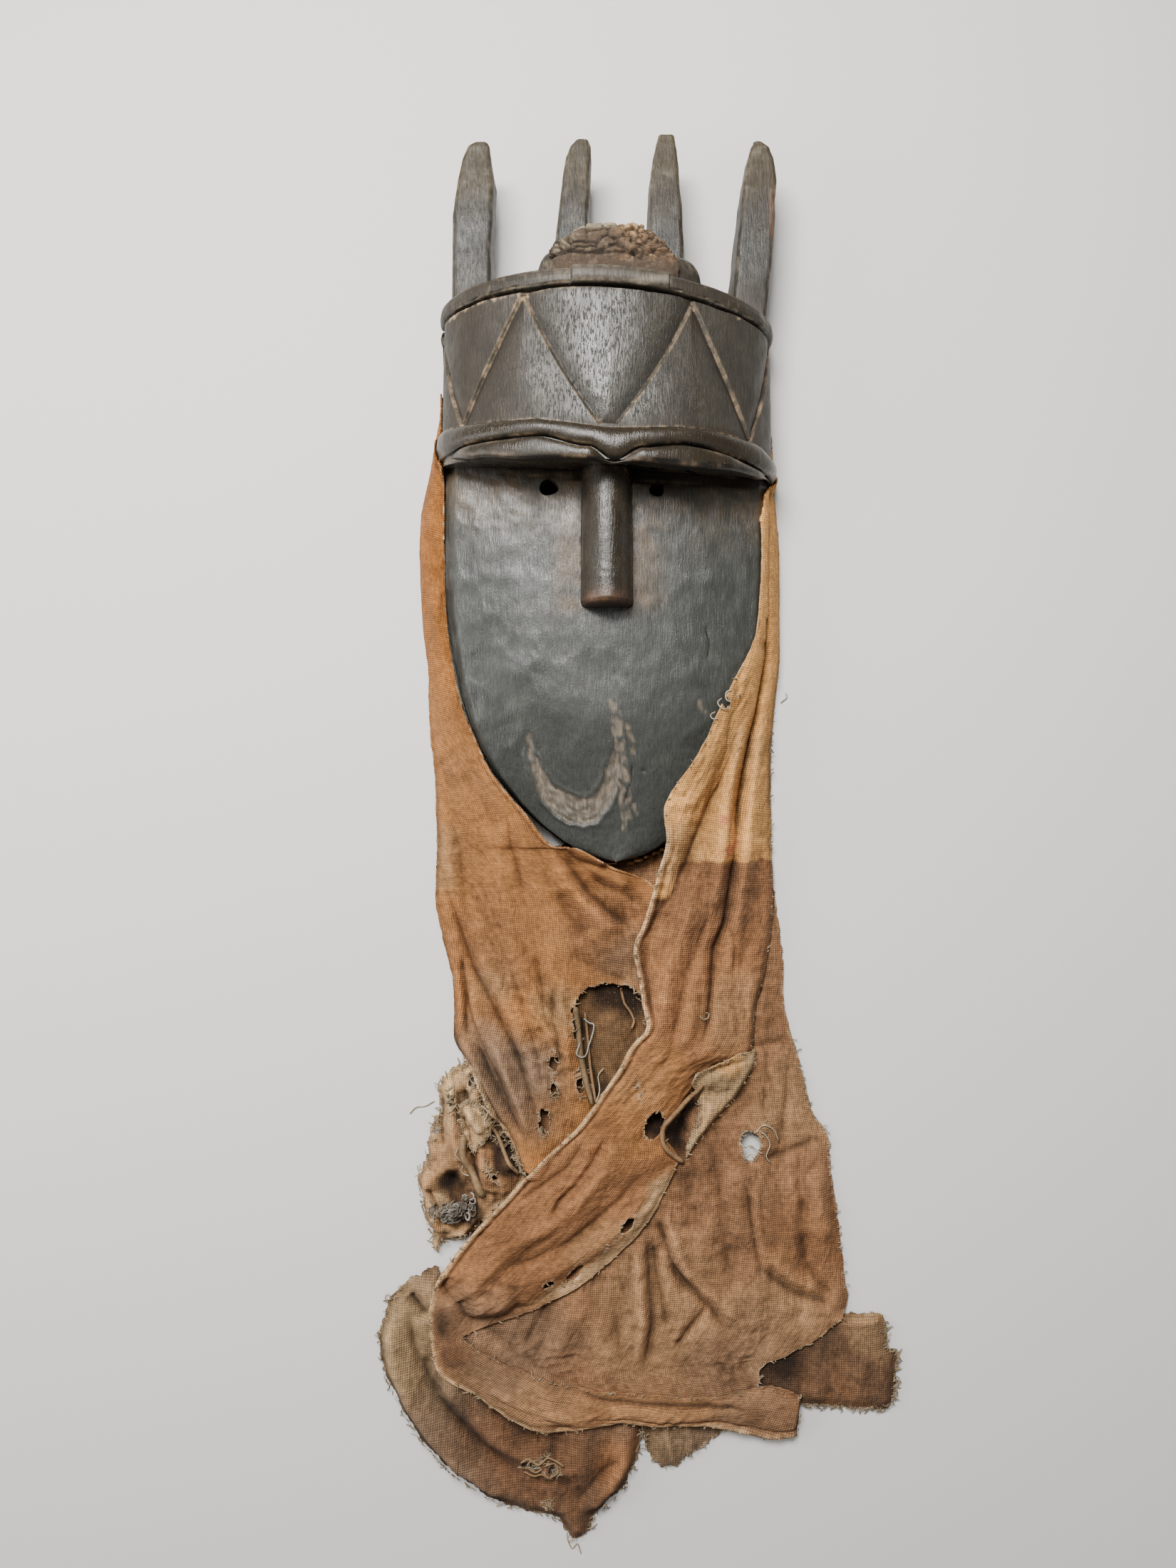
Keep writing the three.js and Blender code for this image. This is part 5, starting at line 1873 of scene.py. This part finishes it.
# %% Left flap
LEFT_ROWS = [
    (-124.5, 288, 4, -120, 288, 6), (-129, 268, 3, -120, 262, 12), (-134, 238, 3, -120.2, 232, 26),
    (-140, 211, 3, -120.2, 205, 26), (-142, 190, 3, -120.2, 180, 26), (-142, 165, 3, -119.8, 150, 26),
    (-140, 121, 3, -117.5, 115, 26), (-136, 87, 3, -112, 80, 28), (-135.5, 60, 3, -104, 50, 28),
    (-134, 32, 3, -90.2, 18, 28), (-131, 8, 3, -78.7, 0, 30), (-130, -18, 3, -60.4, -21, 30),
    (-129.5, -40, 3, -41, -45, 31), (-129.5, -52, 3, -20, -48, 29), (-130, -66, 3, 5, -62, 27),
    (-130.5, -80, 3, 34, -74, 25), (-130.5, -92, 3, 42, -95, 22), (-127, -108, 3, 43, -125, 19),
    (-123, -126, 4, 42, -150, 17), (-117.5, -147, 5, 38, -170, 15), (-116, -170, 6, 32, -195, 14),
    (-115.5, -195, 7, 22, -220, 13), (-104, -212, 9, 10, -236, 13), (-94, -232, 10, -4, -252, 13),
    (-84, -251, 11, -20, -268, 13), (-72, -269, 12, -38, -284, 13), (-64, -290, 12, -54, -298, 13),
]
LEFT_FOLDS = [
    (-4.5, 3, 5, [(-127, -48), (-121, -77), (-112, -107), (-106, -124), (-100, -140), (-91, -157),
                  (-83, -172), (-74, -189), (-66, -207), (-62, -220), (-56, -237), (-51, -254), (-45, -265)]),
    (2.6, 4, 7, [(-100, -112), (-92, -136), (-80, -160), (-68, -185), (-58, -210), (-50, -240)]),
    (-6.0, 2.5, 2.5, [(-109, -128), (-109, -145), (-107, -162), (-106, -180), (-105, -194)]),
    (3.5, 3, 4, [(-103, -150), (-99, -175), (-90, -200), (-80, -222)]),
    (-4.5, 2.5, 3.5, [(-108, -136), (-106, -157), (-100, -178), (-91, -199), (-83, -216), (-77, -232),
                      (-70, -249)]),
    (-3.0, 5, 6, [(-116, -27), (-110, -48), (-109, -73), (-106, -94), (-98, -115)]),
    (3.0, 6, 6, [(-124, -10), (-120, -50), (-118, -85), (-114, -115)]),
    (-3.4, 8, 8, [(-108, 14), (-100, -4), (-88, -20), (-80, -36)]),
    (2.5, 7, 9, [(-96, 20), (-86, -2), (-74, -22), (-62, -44)]),
    (-2.2, 2.5, 4, [(-74, -20), (-70, -50), (-64, -69), (-63, -92)]),
    (-7.0, 3, 20, [(-40, -47), (-28, -61), (-20, -73), (-7, -88), (6, -99), (24, -111)]),
    (3.5, 8, 4, [(-42, -56), (-30, -72), (-18, -86), (-4, -100), (12, -112)]),
    (-2.6, 2.5, 4, [(-14, -68), (-2, -76), (12, -82), (28, -90)]),
    (2.2, 3, 4, [(-20, -58), (0, -69), (20, -78)]),
    (-3.0, 7, 11, [(-38, -78), (-28, -98), (-12, -116)]),
    (2.4, 8, 9, [(-92, -122), (-87, -140), (-76, -158)]),
    (-2.2, 2.2, 3.2, [(-54, -123), (-49, -149), (-47, -170), (-43, -188)]),
    (-3.6, 3, 4, [(-37, -148), (-41, -172), (-36, -192), (-36, -214)]),
    (3.2, 5, 4, [(-32, -140), (-34, -165), (-29, -190), (-28, -214)]),
    (-2.4, 2.4, 3, [(-60, -175), (-52, -205), (-46, -232)]),
    (-2.0, 3, 6, [(-136, 150), (-133, 100), (-131, 60), (-128, 20)]),
    (3.0, 3, 8, [(-128, 160), (-127.5, 121), (-122, 100), (-116, 82), (-106, 50)]),
    (1.6, 5, 7, [(-20, -108), (0, -122), (22, -132)]),
    (-2.2, 4, 6, [(-30, -124), (-8, -138), (18, -148)]),
    (4.5, 3.5, 4.5, [(-110, -186), (-98, -214), (-84, -240), (-72, -262)]),
    (-5.0, 2.5, 3.5, [(-98, -192), (-88, -218), (-74, -244), (-62, -266)]),
    (4.5, 3.5, 4.5, [(-86, -190), (-76, -216), (-64, -244), (-56, -268)]),
]
LEFT_HOLES = [
    (-39.5, -209, 3.2, 8, 4), (-39, -228, 2.2, 6, 4), (-46.5, -252, 3.8, 9.5, 6), (-20, -222, 2, 9, 8),
]
# The big worn opening: a wide arch at the top, narrow below.
LEFT_OPENING = [
    (-26, -176), (-24, -163), (-14, -153), (0, -149), (14, -150), (26, -158), (30, -175), (25, -200),
    (16, -222), (5, -240), (-4, -240), (-12, -222), (-20, -200),
]
HEM_FROM, HEM_TO = 0.40, 0.62


def left_hem(gaps, v):
    """A rolled hem on the edge that passes under the chin."""
    away = gaps[1]
    here = ease(v, HEM_FROM, HEM_FROM + 0.04) * (1 - ease(v, HEM_TO - 0.02, HEM_TO))
    return here * (1.8 * close_to(away - 1.5, 1.6) - 0.9 * close_to(away - 5, 1.3))


def left_look(place):
    patches = [
        (WARM_BROWN, -60, -60, 60, 0.35), (DEEP_BROWN, 8, -112, 46, 0.65),
        (BURNT_ORANGE, -130, 210, 90, 0.9), (BURNT_ORANGE, -132, 110, 60, 0.7),
        (WARM_BROWN, -95, -130, 50, 0.6), (OLIVE_TAN, -90, -150, 22, 0.35), (OLIVE_TAN, -126, -60, 24, 0.35),
        (GREY_BROWN, -72, -222, 46, 0.95), (GREY_BROWN, -98, -190, 26, 0.6), (OLIVE_TAN, -40, -170, 22, 0.5),
        (DEEP_BROWN, -104, 0, 26, 0.35), (GREY_BROWN, 20, -140, 26, 0.5), (WARM_BROWN, -50, -120, 40, 0.3),
    ]
    colours = patches_of_dye_and_shade(place, mix(np.array(ORANGE_BROWN), np.array(WARM_BROWN), 0.35), patches, 6.0)
    torn_side = 1 - ease(place["left"] + 4 * noise_at(place["points"], 6, seed=55.0), 2, 7)
    return tint(colours, HEM_TAN, 0.7 * torn_side * ease(-place["y"], 205, 215))


left_flap = make_sheet("left_flap", Rows(LEFT_ROWS, 9.0), 1.7, left_look, LEFT_FOLDS, 1.2,
                       ragged=(1.2, 0.6, 0, 4), holes=LEFT_HOLES, drop=(7, 0, 0, 6), hem=left_hem,
                       gap=1.2, seed=41.0, openings=[np.array(LEFT_OPENING)], hang=24)
fray("left_flap", 240, 7, 6, lambda x, y: (y < -208) | (y < -140) & (x > -60))

# %% [markdown]
# ## Right flap, band and bottom hem
# The right flap comes forward round the cheek, and its pale hem runs down in one long line: over the chest,
# along the slanting band, round the lower left corner and back along the bottom. So all of it is one sheet
# whose left edge is that hem. The band's lower border is a soft fold that settles into the wide layer.

# %% Right flap
RIGHT_ROWS = [
    (113, 264, 6, 124, 258, 4), (113, 240, 14, 127, 236, 3), (112, 205, 20, 130, 205, 3),
    (113, 183, 24, 132, 183, 3), (113, 160, 28, 132.5, 160, 3), (112, 138, 33, 132.5, 135, 3),
    (109, 111, 38, 132.5, 108, 3), (102, 94, 43, 132, 88, 3), (90, 72, 48, 130, 70, 3),
    (79, 50, 51, 128, 48, 3), (66, 23, 52, 126, 22, 4), (50, 0, 51, 126, -4, 5), (41, -17, 49, 126, -28, 6),
    (43, -42, 44, 126, -49, 6), (38, -62, 38, 127, -66, 6), (33.5, -80, 34, 127.5, -88, 7),
    (27.5, -101, 31, 126, -106, 9), (20, -121, 29, 124, -123, 11), (23, -142, 27, 120, -146, 13),
    (26, -162, 26, 114, -167, 14), (29, -181, 25, 112, -188, 15), (17, -196, 24, 108, -204, 15),
    (9, -212, 23, 86, -211, 14), (-5, -233, 22, 70, -226, 14), (-14, -246, 22, 57, -243, 14),
    (-24, -259, 21, 47, -256, 14), (-34, -268, 21, 46, -268, 14), (-44, -277, 21, 55, -281, 14),
    (-61, -294, 20, 51, -294, 14), (-77, -312, 19, 42, -312, 14), (-93, -329, 18, 30, -332, 13),
    (-107, -345, 17, 14, -350, 12), (-119, -361, 16, -5, -366, 10), (-128, -375, 16, -30, -384, 9),
    (-132, -389, 16, -62, -400, 8), (-133.5, -403, 15, -90, -409, 8), (-132, -422, 14, -106, -414, 8),
    (-128.5, -438, 13, -100, -420, 8), (-119, -447, 12, -86, -428, 8), (-100, -459, 11, -70, -436, 8),
    (-86, -469, 10, -54, -442, 8), (-68, -481, 10, -38, -448, 8), (-49, -487.5, 10, -22, -452, 8),
    (-33, -487.5, 10, -8, -455, 8), (-14, -483, 10, 9, -457, 9), (9, -480, 10, 32, -459, 9),
    (32, -484, 9, 56, -461, 9), (56, -485, 8, 79, -462, 9), (79, -486, 8, 102, -459, 8),
    (102, -491, 7, 126, -455, 7), (126, -496, 6, 140, -459, 6), (146, -496, 5, 148, -464, 5),
]
RIGHT_FOLDS = [
    (-11.0, 3, 3.5, [(119, 150), (118.7, 94), (112, 53), (107, 33), (102, 9), (98.5, -15), (97, -40),
                     (95, -57)]),
    (-8.0, 3, 4, [(97, -36), (95, -57), (91, -83), (87.5, -105), (80, -122), (78, -152), (75, -181),
                  (68, -199)]),
    (5.0, 8, 4, [(104, 60), (98, 33), (92, 6), (88, -20), (86, -50), (82, -80), (78, -104)]),
    (4.5, 4, 8, [(120, 70), (114, 30), (108, -10), (104, -50), (100, -90), (94, -122), (90, -160)]),
    (-7.0, 3, 11, [(96, 72), (91, 43), (87.5, 21), (83, 4), (74, -15), (66, -35), (60, -52), (53, -71),
                   (50, -88)]),
    (3.0, 9, 3, [(86, 50), (80, 24), (72, 2), (62, -16), (55, -36), (50, -58)]),
    (-5.0, 3, 5, [(52, -76), (41, -90), (34, -103), (28, -118), (27, -136), (31, -159), (34, -182)]),
    (3.2, 6, 8, [(66, -80), (57, -105), (49, -130), (44, -154), (42, -180)]),
    (-2.6, 4, 6, [(78, -93), (68, -118), (58, -142), (53, -171), (48, -198), (34, -222)]),
    (3.0, 6, 6, [(70, -120), (66, -150), (62, -178), (56, -204)]),
    (-3.0, 1.5, 3.5, [(94, -108), (95, -124), (94, -142)]),
    (-2.0, 5, 6, [(109, -60), (105, -98), (102, -122), (98, -150)]),
    (-1.6, 1.5, 2, [(44, -4), (52, -9), (60, -9)]),
    (-3.0, 3, 5, [(-14, -262), (-28, -285), (-49, -301), (-68, -314)]),
    (-3.6, 2.5, 4.5, [(0, -262), (-12, -284), (-24, -300), (-36, -311), (-43, -330)]),
    (3.0, 5, 6, [(10, -262), (-4, -290), (-22, -312), (-44, -332), (-70, -346)]),
    (-4.0, 5, 7, [(30, -284), (9, -312), (-10, -329), (-28, -343), (-52, -355), (-80, -365)]),
    (3.0, 8, 8, [(46, -289), (28, -315), (9, -336), (-14, -352), (-42, -366), (-70, -380)]),
    (-9.0, 5, 9, [(-123, -362), (-124, -385), (-126, -403), (-125, -422), (-119, -436), (-104, -448),
                  (-84, -458)]),
    (-3.5, 6, 7, [(-119, -392), (-103, -404), (-84, -408)]),
    (3.0, 6, 6, [(-110, -434), (-92, -452), (-66, -466), (-36, -476), (0, -474), (40, -477), (90, -480)]),
    (-7.0, 2.5, 5, [(-30, -456), (-6, -463), (34, -467), (70, -469), (104, -471)]),
    (-4.0, 3, 6, [(-100, -436), (-78, -450), (-54, -462), (-34, -468)]),
    (4.0, 3, 4, [(-20, -452), (10, -459), (50, -462), (92, -464)]),
    (5.0, 9, 12, [(-96, -352), (-100, -376), (-92, -392), (-66, -390)]),
    (-5.0, 3, 6, [(-128, -386), (-114, -400), (-98, -406), (-80, -403), (-56, -394)]),
]
RIGHT_HOLES = [
    (36, -255, 7.2, 10.5, -12), (25, -228, 2.6, 5.5, 10), (86.5, 58, 3.4, 4.6, 30), (92, 66, 1.4, 3.4, 40),
    (16, -330, 3.2, 8, -38), (-23, -366, 3.4, 8, -35), (-43, -376, 4.2, 4.4, 0), (-31, -377, 1.8, 4, -50),
    (4, -344, 1.4, 5, -42),
]
TAN_LINE = -57.0


def right_hem(gaps, v):
    """A flattened hem along the whole left edge, with a dark line beside it."""
    away = gaps[0]
    strong = ease(v, 0.26, 0.34)
    return strong * (2.2 * close_to(away - 2.0, 2.4) - 1.8 * close_to(away - 6.5, 1.6))


def right_look(place):
    x, y = place["x"], place["y"]
    patches = [
        (DEEP_BROWN, 66, -84, 46, 0.55), (DEEP_BROWN, 112, -90, 40, 0.5), (DUSTY_TAN, 95, -170, 30, 0.4),
        (DUSTY_TAN, 20, -225, 26, 0.4), (ORANGE_BROWN, 30, -240, 50, 0.45), (DUSTY_TAN, 0, -350, 30, 0.3),
        (GREY_BROWN, -100, -410, 40, 0.6), (DUSTY_TAN, -60, -470, 60, 0.45), (DUSTY_TAN, 60, -475, 60, 0.3),
        # at the left hem, the SHADE and DEEP_BROWN patches together are a painted shadow
        (SHADE, -122, -410, 11, 0.85), (SHADE, -117, -428, 8, 0.6), (DEEP_BROWN, -108, -420, 18, 0.8),
        (GREY_BROWN, 120, -475, 40, 0.5), (GREY_BROWN, -80, -444, 26, 0.6),
    ]
    colours = patches_of_dye_and_shade(place, WARM_BROWN, patches, 7.0)
    # painted shade along the crease under the fold of the bottom band
    ledge = along_line(x, y, [(-26, -455), (0, -462), (34, -466), (70, -468), (106, -470)])[0]
    colours = tint(colours, SHADE, 0.7 * close_to(ledge, 1.8) * between(x, -30, -10, 96, 110))
    blended = (1 - ease(place["right"], 0, 14)) * ease(-y, 392, 404) * (1 - ease(x, -40, -10))
    colours = tint(colours, mix(np.array(WARM_BROWN), np.array(GREY_BROWN), 0.5), blended)
    torn_low = 1 - ease(place["right"] + 6 * noise_at(place["points"], 9, seed=54.0), 8, 18)
    colours = tint(colours, TORN_TAN, 0.75 * torn_low * between(-y, 285, 300, 380, 400))
    edge = 2.2 * noise_at(place["points"], 8, seed=50.0) + 0.8 * noise_at(place["points"], 2.5, seed=51.0)
    line = TAN_LINE - 27 * (1 - ease(x, 44, 56)) + edge
    tan = patches_of_dye_and_shade(place, PALE_TAN, [(DUSTY_TAN, 50, -50, 22, 0.6), (DUSTY_TAN, 104, 30, 16, 0.35)], 8.0)
    colours = mix(colours, tan, ease(y - line, -0.8, 0.8)[:, None])
    for rose_x, rose_y, reach in [(86, -26, 6.5), (90, -49, 7), (96, -45, 5), (125, 10, 4)]:
        away = np.hypot(x - rose_x, y - rose_y) + 4 * np.abs(noise_at(place["points"], 2.5, seed=52.0))
        colours = tint(colours, ROSE, 0.55 * (1 - ease(away, 0.3 * reach, reach)))
    pale = (1 - ease(place["left"], 1.5, 5.0)) * ease(-y, -10, 60)
    cracked = ease(noise_at(place["points"], 3.0, seed=53.0), -0.35, 0.2)
    return tint(colours, HEM_TAN, 0.85 * pale * (0.35 + 0.65 * cracked))


def settle(x, y):
    """The right edge sinks slowly into the wide layer where the band turns."""
    return 7 + 16 * ease(-y, 385, 402) * (1 - ease(x, -30, 0))


right_flap = make_sheet("right_flap", Rows(RIGHT_ROWS, 7.0), 1.7, right_look, RIGHT_FOLDS, 1.0,
                        ragged=(0.8, 1.6, 0, 2), holes=RIGHT_HOLES, drop=(0, settle, 0, 5), hem=right_hem,
                        gap=1.3, seed=61.0, fuzzy=lambda x, y: ease(y, -398, -385))
fray("right_flap", 260, 5, 7, lambda x, y: (y < 80))

# %% Folded-back tip
TIP = [
    (66, -216), (76, -211), (88, -206), (100, -200), (113, -199), (113, -210), (107, -222), (98, -236),
    (88, -247), (78, -258), (67, -272), (60, -284), (60, -272), (66, -258), (69, -244), (67, -230),
    (62, -224),
]


def tip_look(place):
    return patches_of_dye_and_shade(place, OLIVE_TAN, [(PALE_TAN, 90, -208, 16, 0.6), (DUSTY_TAN, 80, -240, 20, 0.5)], 9.0)


TIP_FOLDS = [
    (3.0, 5, 3, [(72, -222), (84, -216), (100, -210)]),
    (-2.5, 3, 4, [(74, -228), (84, -232), (96, -228)]),
    (2.5, 3, 4, [(78, -236), (76, -250), (68, -266)]),
]

folded_tip = make_sheet("folded_tip", Patch(TIP, 18.0, 3.0), 1.2, tip_look, TIP_FOLDS, 0.6,
                        ragged=1.5, drop=5, seed=71.0)
fray("folded_tip", 40, 5, 8)

# %% [markdown]
# ## Strips, loops and the knot
# A few threads are large enough to draw one by one: a narrow strap beside the holes of the band, a hanging
# strip and a white loop in the big opening, threads across the small hole, and the tatter's knot, which is a
# heap of curled threads.

# %% Drawn threads
PALE_THREAD = (0.72, 0.60, 0.42)
WHITE_THREAD = (0.80, 0.76, 0.66)
KNOT_DARK = (0.16, 0.12, 0.085)
# Each is (points, half width, half height, lift, colour).
STRANDS = [
    ([(72, -224), (64, -234), (56, -242), (48, -250), (43, -257), (42, -266), (45, -273), (51, -279),
      (59, -285)], 2.0, 0.9, 1.6, DUSTY_TAN),
    ([(11, -152), (12, -158), (14, -165), (18, -171), (21, -178), (19, -184)], 1.0, 0.5, 3.5, DUSTY_TAN),
    ([(-23, -166), (-21, -182), (-19, -202), (-15, -222), (-10, -240)], 2.4, 0.8, 2.0, OLIVE_TAN),
    ([(-16, -172), (-14, -190), (-12, -212), (-8, -236)], 1.2, 0.6, 1.5, DUSTY_TAN),
    ([(-106, -262), (-107, -276), (-102, -288), (-96, -300), (-91, -312)], 3.0, 1.2, 3.0, TORN_TAN),
    ([(-88, -250), (-80, -266), (-74, -280), (-66, -292)], 1.6, 1.0, 1.5, TORN_TAN),
    ([(-17, -176), (-13, -179), (-9.6, -180), (-9.5, -184), (-11, -190), (-13, -196), (-15, -202),
      (-19, -203), (-22, -200), (-20, -194), (-16, -190)], 0.55, 0.5, 4.0, WHITE_THREAD),
    ([(-8, -236), (-5, -228), (-6, -219), (-2, -213)], 0.5, 0.45, 2.5, PALE_THREAD),
    ([(69, -171), (71, -174), (75, -174), (76, -171), (73, -169)], 0.45, 0.4, 0.8, PALE_THREAD),
    ([(101, -271), (106, -275), (112, -276), (118, -279)], 0.5, 0.45, 1.5, PALE_THREAD),
    ([(104, -283), (109, -280), (114, -281)], 0.4, 0.4, 1.2, PALE_THREAD),
    ([(116, -262), (121, -266), (124, -273), (121, -281), (125, -288)], 0.45, 0.4, 0.8, PALE_THREAD),
    ([(112, -264), (119, -258), (127, -262), (131, -271)], 0.45, 0.4, 0.8, PALE_THREAD),
    ([(83, 62), (80, 59), (82, 55), (86, 54), (88, 57)], 0.5, 0.45, 1.0, PALE_THREAD),
    ([(90, 68), (86, 66), (86, 61), (90, 59)], 0.5, 0.45, 1.0, PALE_THREAD),
    ([(78, 52), (75, 50), (76, 47), (80, 47)], 0.5, 0.45, 1.0, PALE_THREAD),
    ([(-131, -242), (-138, -246), (-145, -247), (-150, -252)], 0.5, 0.45, 0.6, PALE_THREAD),
    ([(-110, -270), (-112, -277), (-107, -284), (-109, -291), (-103, -294),
      (-98, -290)], 0.5, 0.45, 1.4, PALE_THREAD),
    ([(-93, -238), (-88, -243), (-90, -250), (-84, -256)], 0.5, 0.45, 1.4, PALE_THREAD),
    ([(-48, -512), (-53, -515), (-59, -512), (-57, -507), (-50, -506)], 0.7, 0.6, 0.9, TORN_TAN),
    ([(-43, -519), (-36, -515), (-39, -509), (-46, -510)], 0.7, 0.6, 0.9, TORN_TAN),
    ([(-64, -508), (-58, -505), (-51, -509), (-44, -505), (-37, -508), (-31, -512)], 0.9, 0.6, 1.2, TORN_TAN),
    ([(-62, -517), (-54, -519), (-48, -516), (-40, -520)], 0.8, 0.6, 1.0, DUSTY_TAN),
    ([(-30, -574), (-26, -584), (-22, -580), (-19, -588)], 0.5, 0.45, 0.6, PALE_THREAD),
    ([(133, 62), (138, 66), (137, 70)], 0.5, 0.45, 0.8, WHITE_THREAD),
]


def smooth(line, steps=4):
    """A smooth line through drawn points, with a few steps from each to the next."""
    return dense_rows(line)[::ROW_STEPS // steps]


def tangle(middle, radius, count, seed):
    """Short curled threads heaped around a place."""
    chance = random.Random(seed)
    lines, sizes, colours = [], [], []
    for _ in range(count):
        angle, out = chance.uniform(0, 2 * np.pi), radius * chance.random() ** 0.7
        line = [np.array([middle[0] + out * math.cos(angle), middle[1] + 0.8 * out * math.sin(angle)])]
        turn, bend = chance.uniform(0, 2 * np.pi), chance.choice([-1, 1]) * chance.uniform(0.4, 1.1)
        for _ in range(7):
            line.append(line[-1] + 1.5 * np.array([math.cos(turn), math.sin(turn)]))
            turn += bend
        heap = 6 * max(0.0, 1 - out / radius) + chance.uniform(0, 1.5)
        lines.append(on_ground(line, heap + np.sin(np.linspace(0, np.pi, 8)) * chance.uniform(0.5, 2.5)))
        sizes.append((chance.uniform(0.4, 1.0),) * 2)
        paleness = chance.random() ** 1.6 * 0.85
        colours.append(mix(np.array(KNOT_DARK), np.array(WHITE_THREAD), paleness))
    return lines, sizes, colours


strand_lines, strand_sizes, strand_colours = [], [], []
for points, half_width, half_height, lift, colour in STRANDS:
    strand_lines.append(on_ground(smooth(points), lift))
    strand_sizes.append((half_width, half_height))
    strand_colours.append(colour)
trims.setdefault("right_flap", []).append(thread_mesh("strands", strand_lines, strand_sizes, strand_colours))
trims.setdefault("tatter", []).append(thread_mesh("knot", *tangle((-112, -320), 11, 90, 10)))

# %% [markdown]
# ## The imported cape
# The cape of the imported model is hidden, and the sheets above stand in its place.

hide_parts("cape")

# %% [markdown]
# ## Floor and light
# A plain pale floor and soft lamps. The strongest stands beyond the horns, a little to the left, so that the
# brow throws a shadow on the face, as in the photograph. A narrow strip lamp above the forehead gives the
# half-round block its bright middle, and two weak lamps at the sides keep the cloth's folds readable.

# %% Floor and light
floor = bend_grid("floor", 1, 1, lambda u, v: (mix(-4000, 4000, u), mix(-4000, 4000, v), u * 0 - 0.2))
floor_paint, tree, shader = new_finish("floor_paint")
shader.inputs["Base Color"].default_value = (0.72, 0.71, 0.69, 1)
shader.inputs["Roughness"].default_value = 0.9
floor.data.materials.append(floor_paint)


def soft_light(name, place, aim, size, power, colour=(1, 1, 1)):
    lamp = bpy.data.lights.new(name, "AREA")
    lamp.shape = "RECTANGLE"
    lamp.size, lamp.size_y = size
    lamp.energy = power
    lamp.color = colour
    holder = add_object(name, lamp)
    holder.location = place
    holder.rotation_euler = (Vector(aim) - Vector(place)).to_track_quat("-Z", "Y").to_euler()


soft_light("key", (-0.34, 0.78, 1.3), (0, 0.0, 0), (0.7, 0.42), 42, (1.0, 0.98, 0.95))
soft_light("side", (-1.4, 0.1, 0.75), (0, -0.2, 0), (0.7, 0.7), 13, (1.0, 0.99, 0.97))
soft_light("fill", (1.2, -0.3, 1.2), (0, 0, 0), (1.2, 1.2), 2, (0.95, 0.98, 1.0))
soft_light("strip", (-0.1, 0.46, 1.3), (-0.02, 0.18, 0), (0.06, 0.34), 4, (1.0, 0.98, 0.95))
world = bpy.data.worlds.new("studio")
bpy.context.scene.world = world
world.use_nodes = True
background = world.node_tree.nodes["Background"]
background.inputs["Color"].default_value = (0.92, 0.92, 0.90, 1)
background.inputs["Strength"].default_value = 0.2
print("lamps:", len(bpy.data.lights))

# %% Count the triangles
triangles = sum(triangles_of(piece) for piece in scene_objects if piece.type == "MESH")
print("triangles in the scene:", triangles)
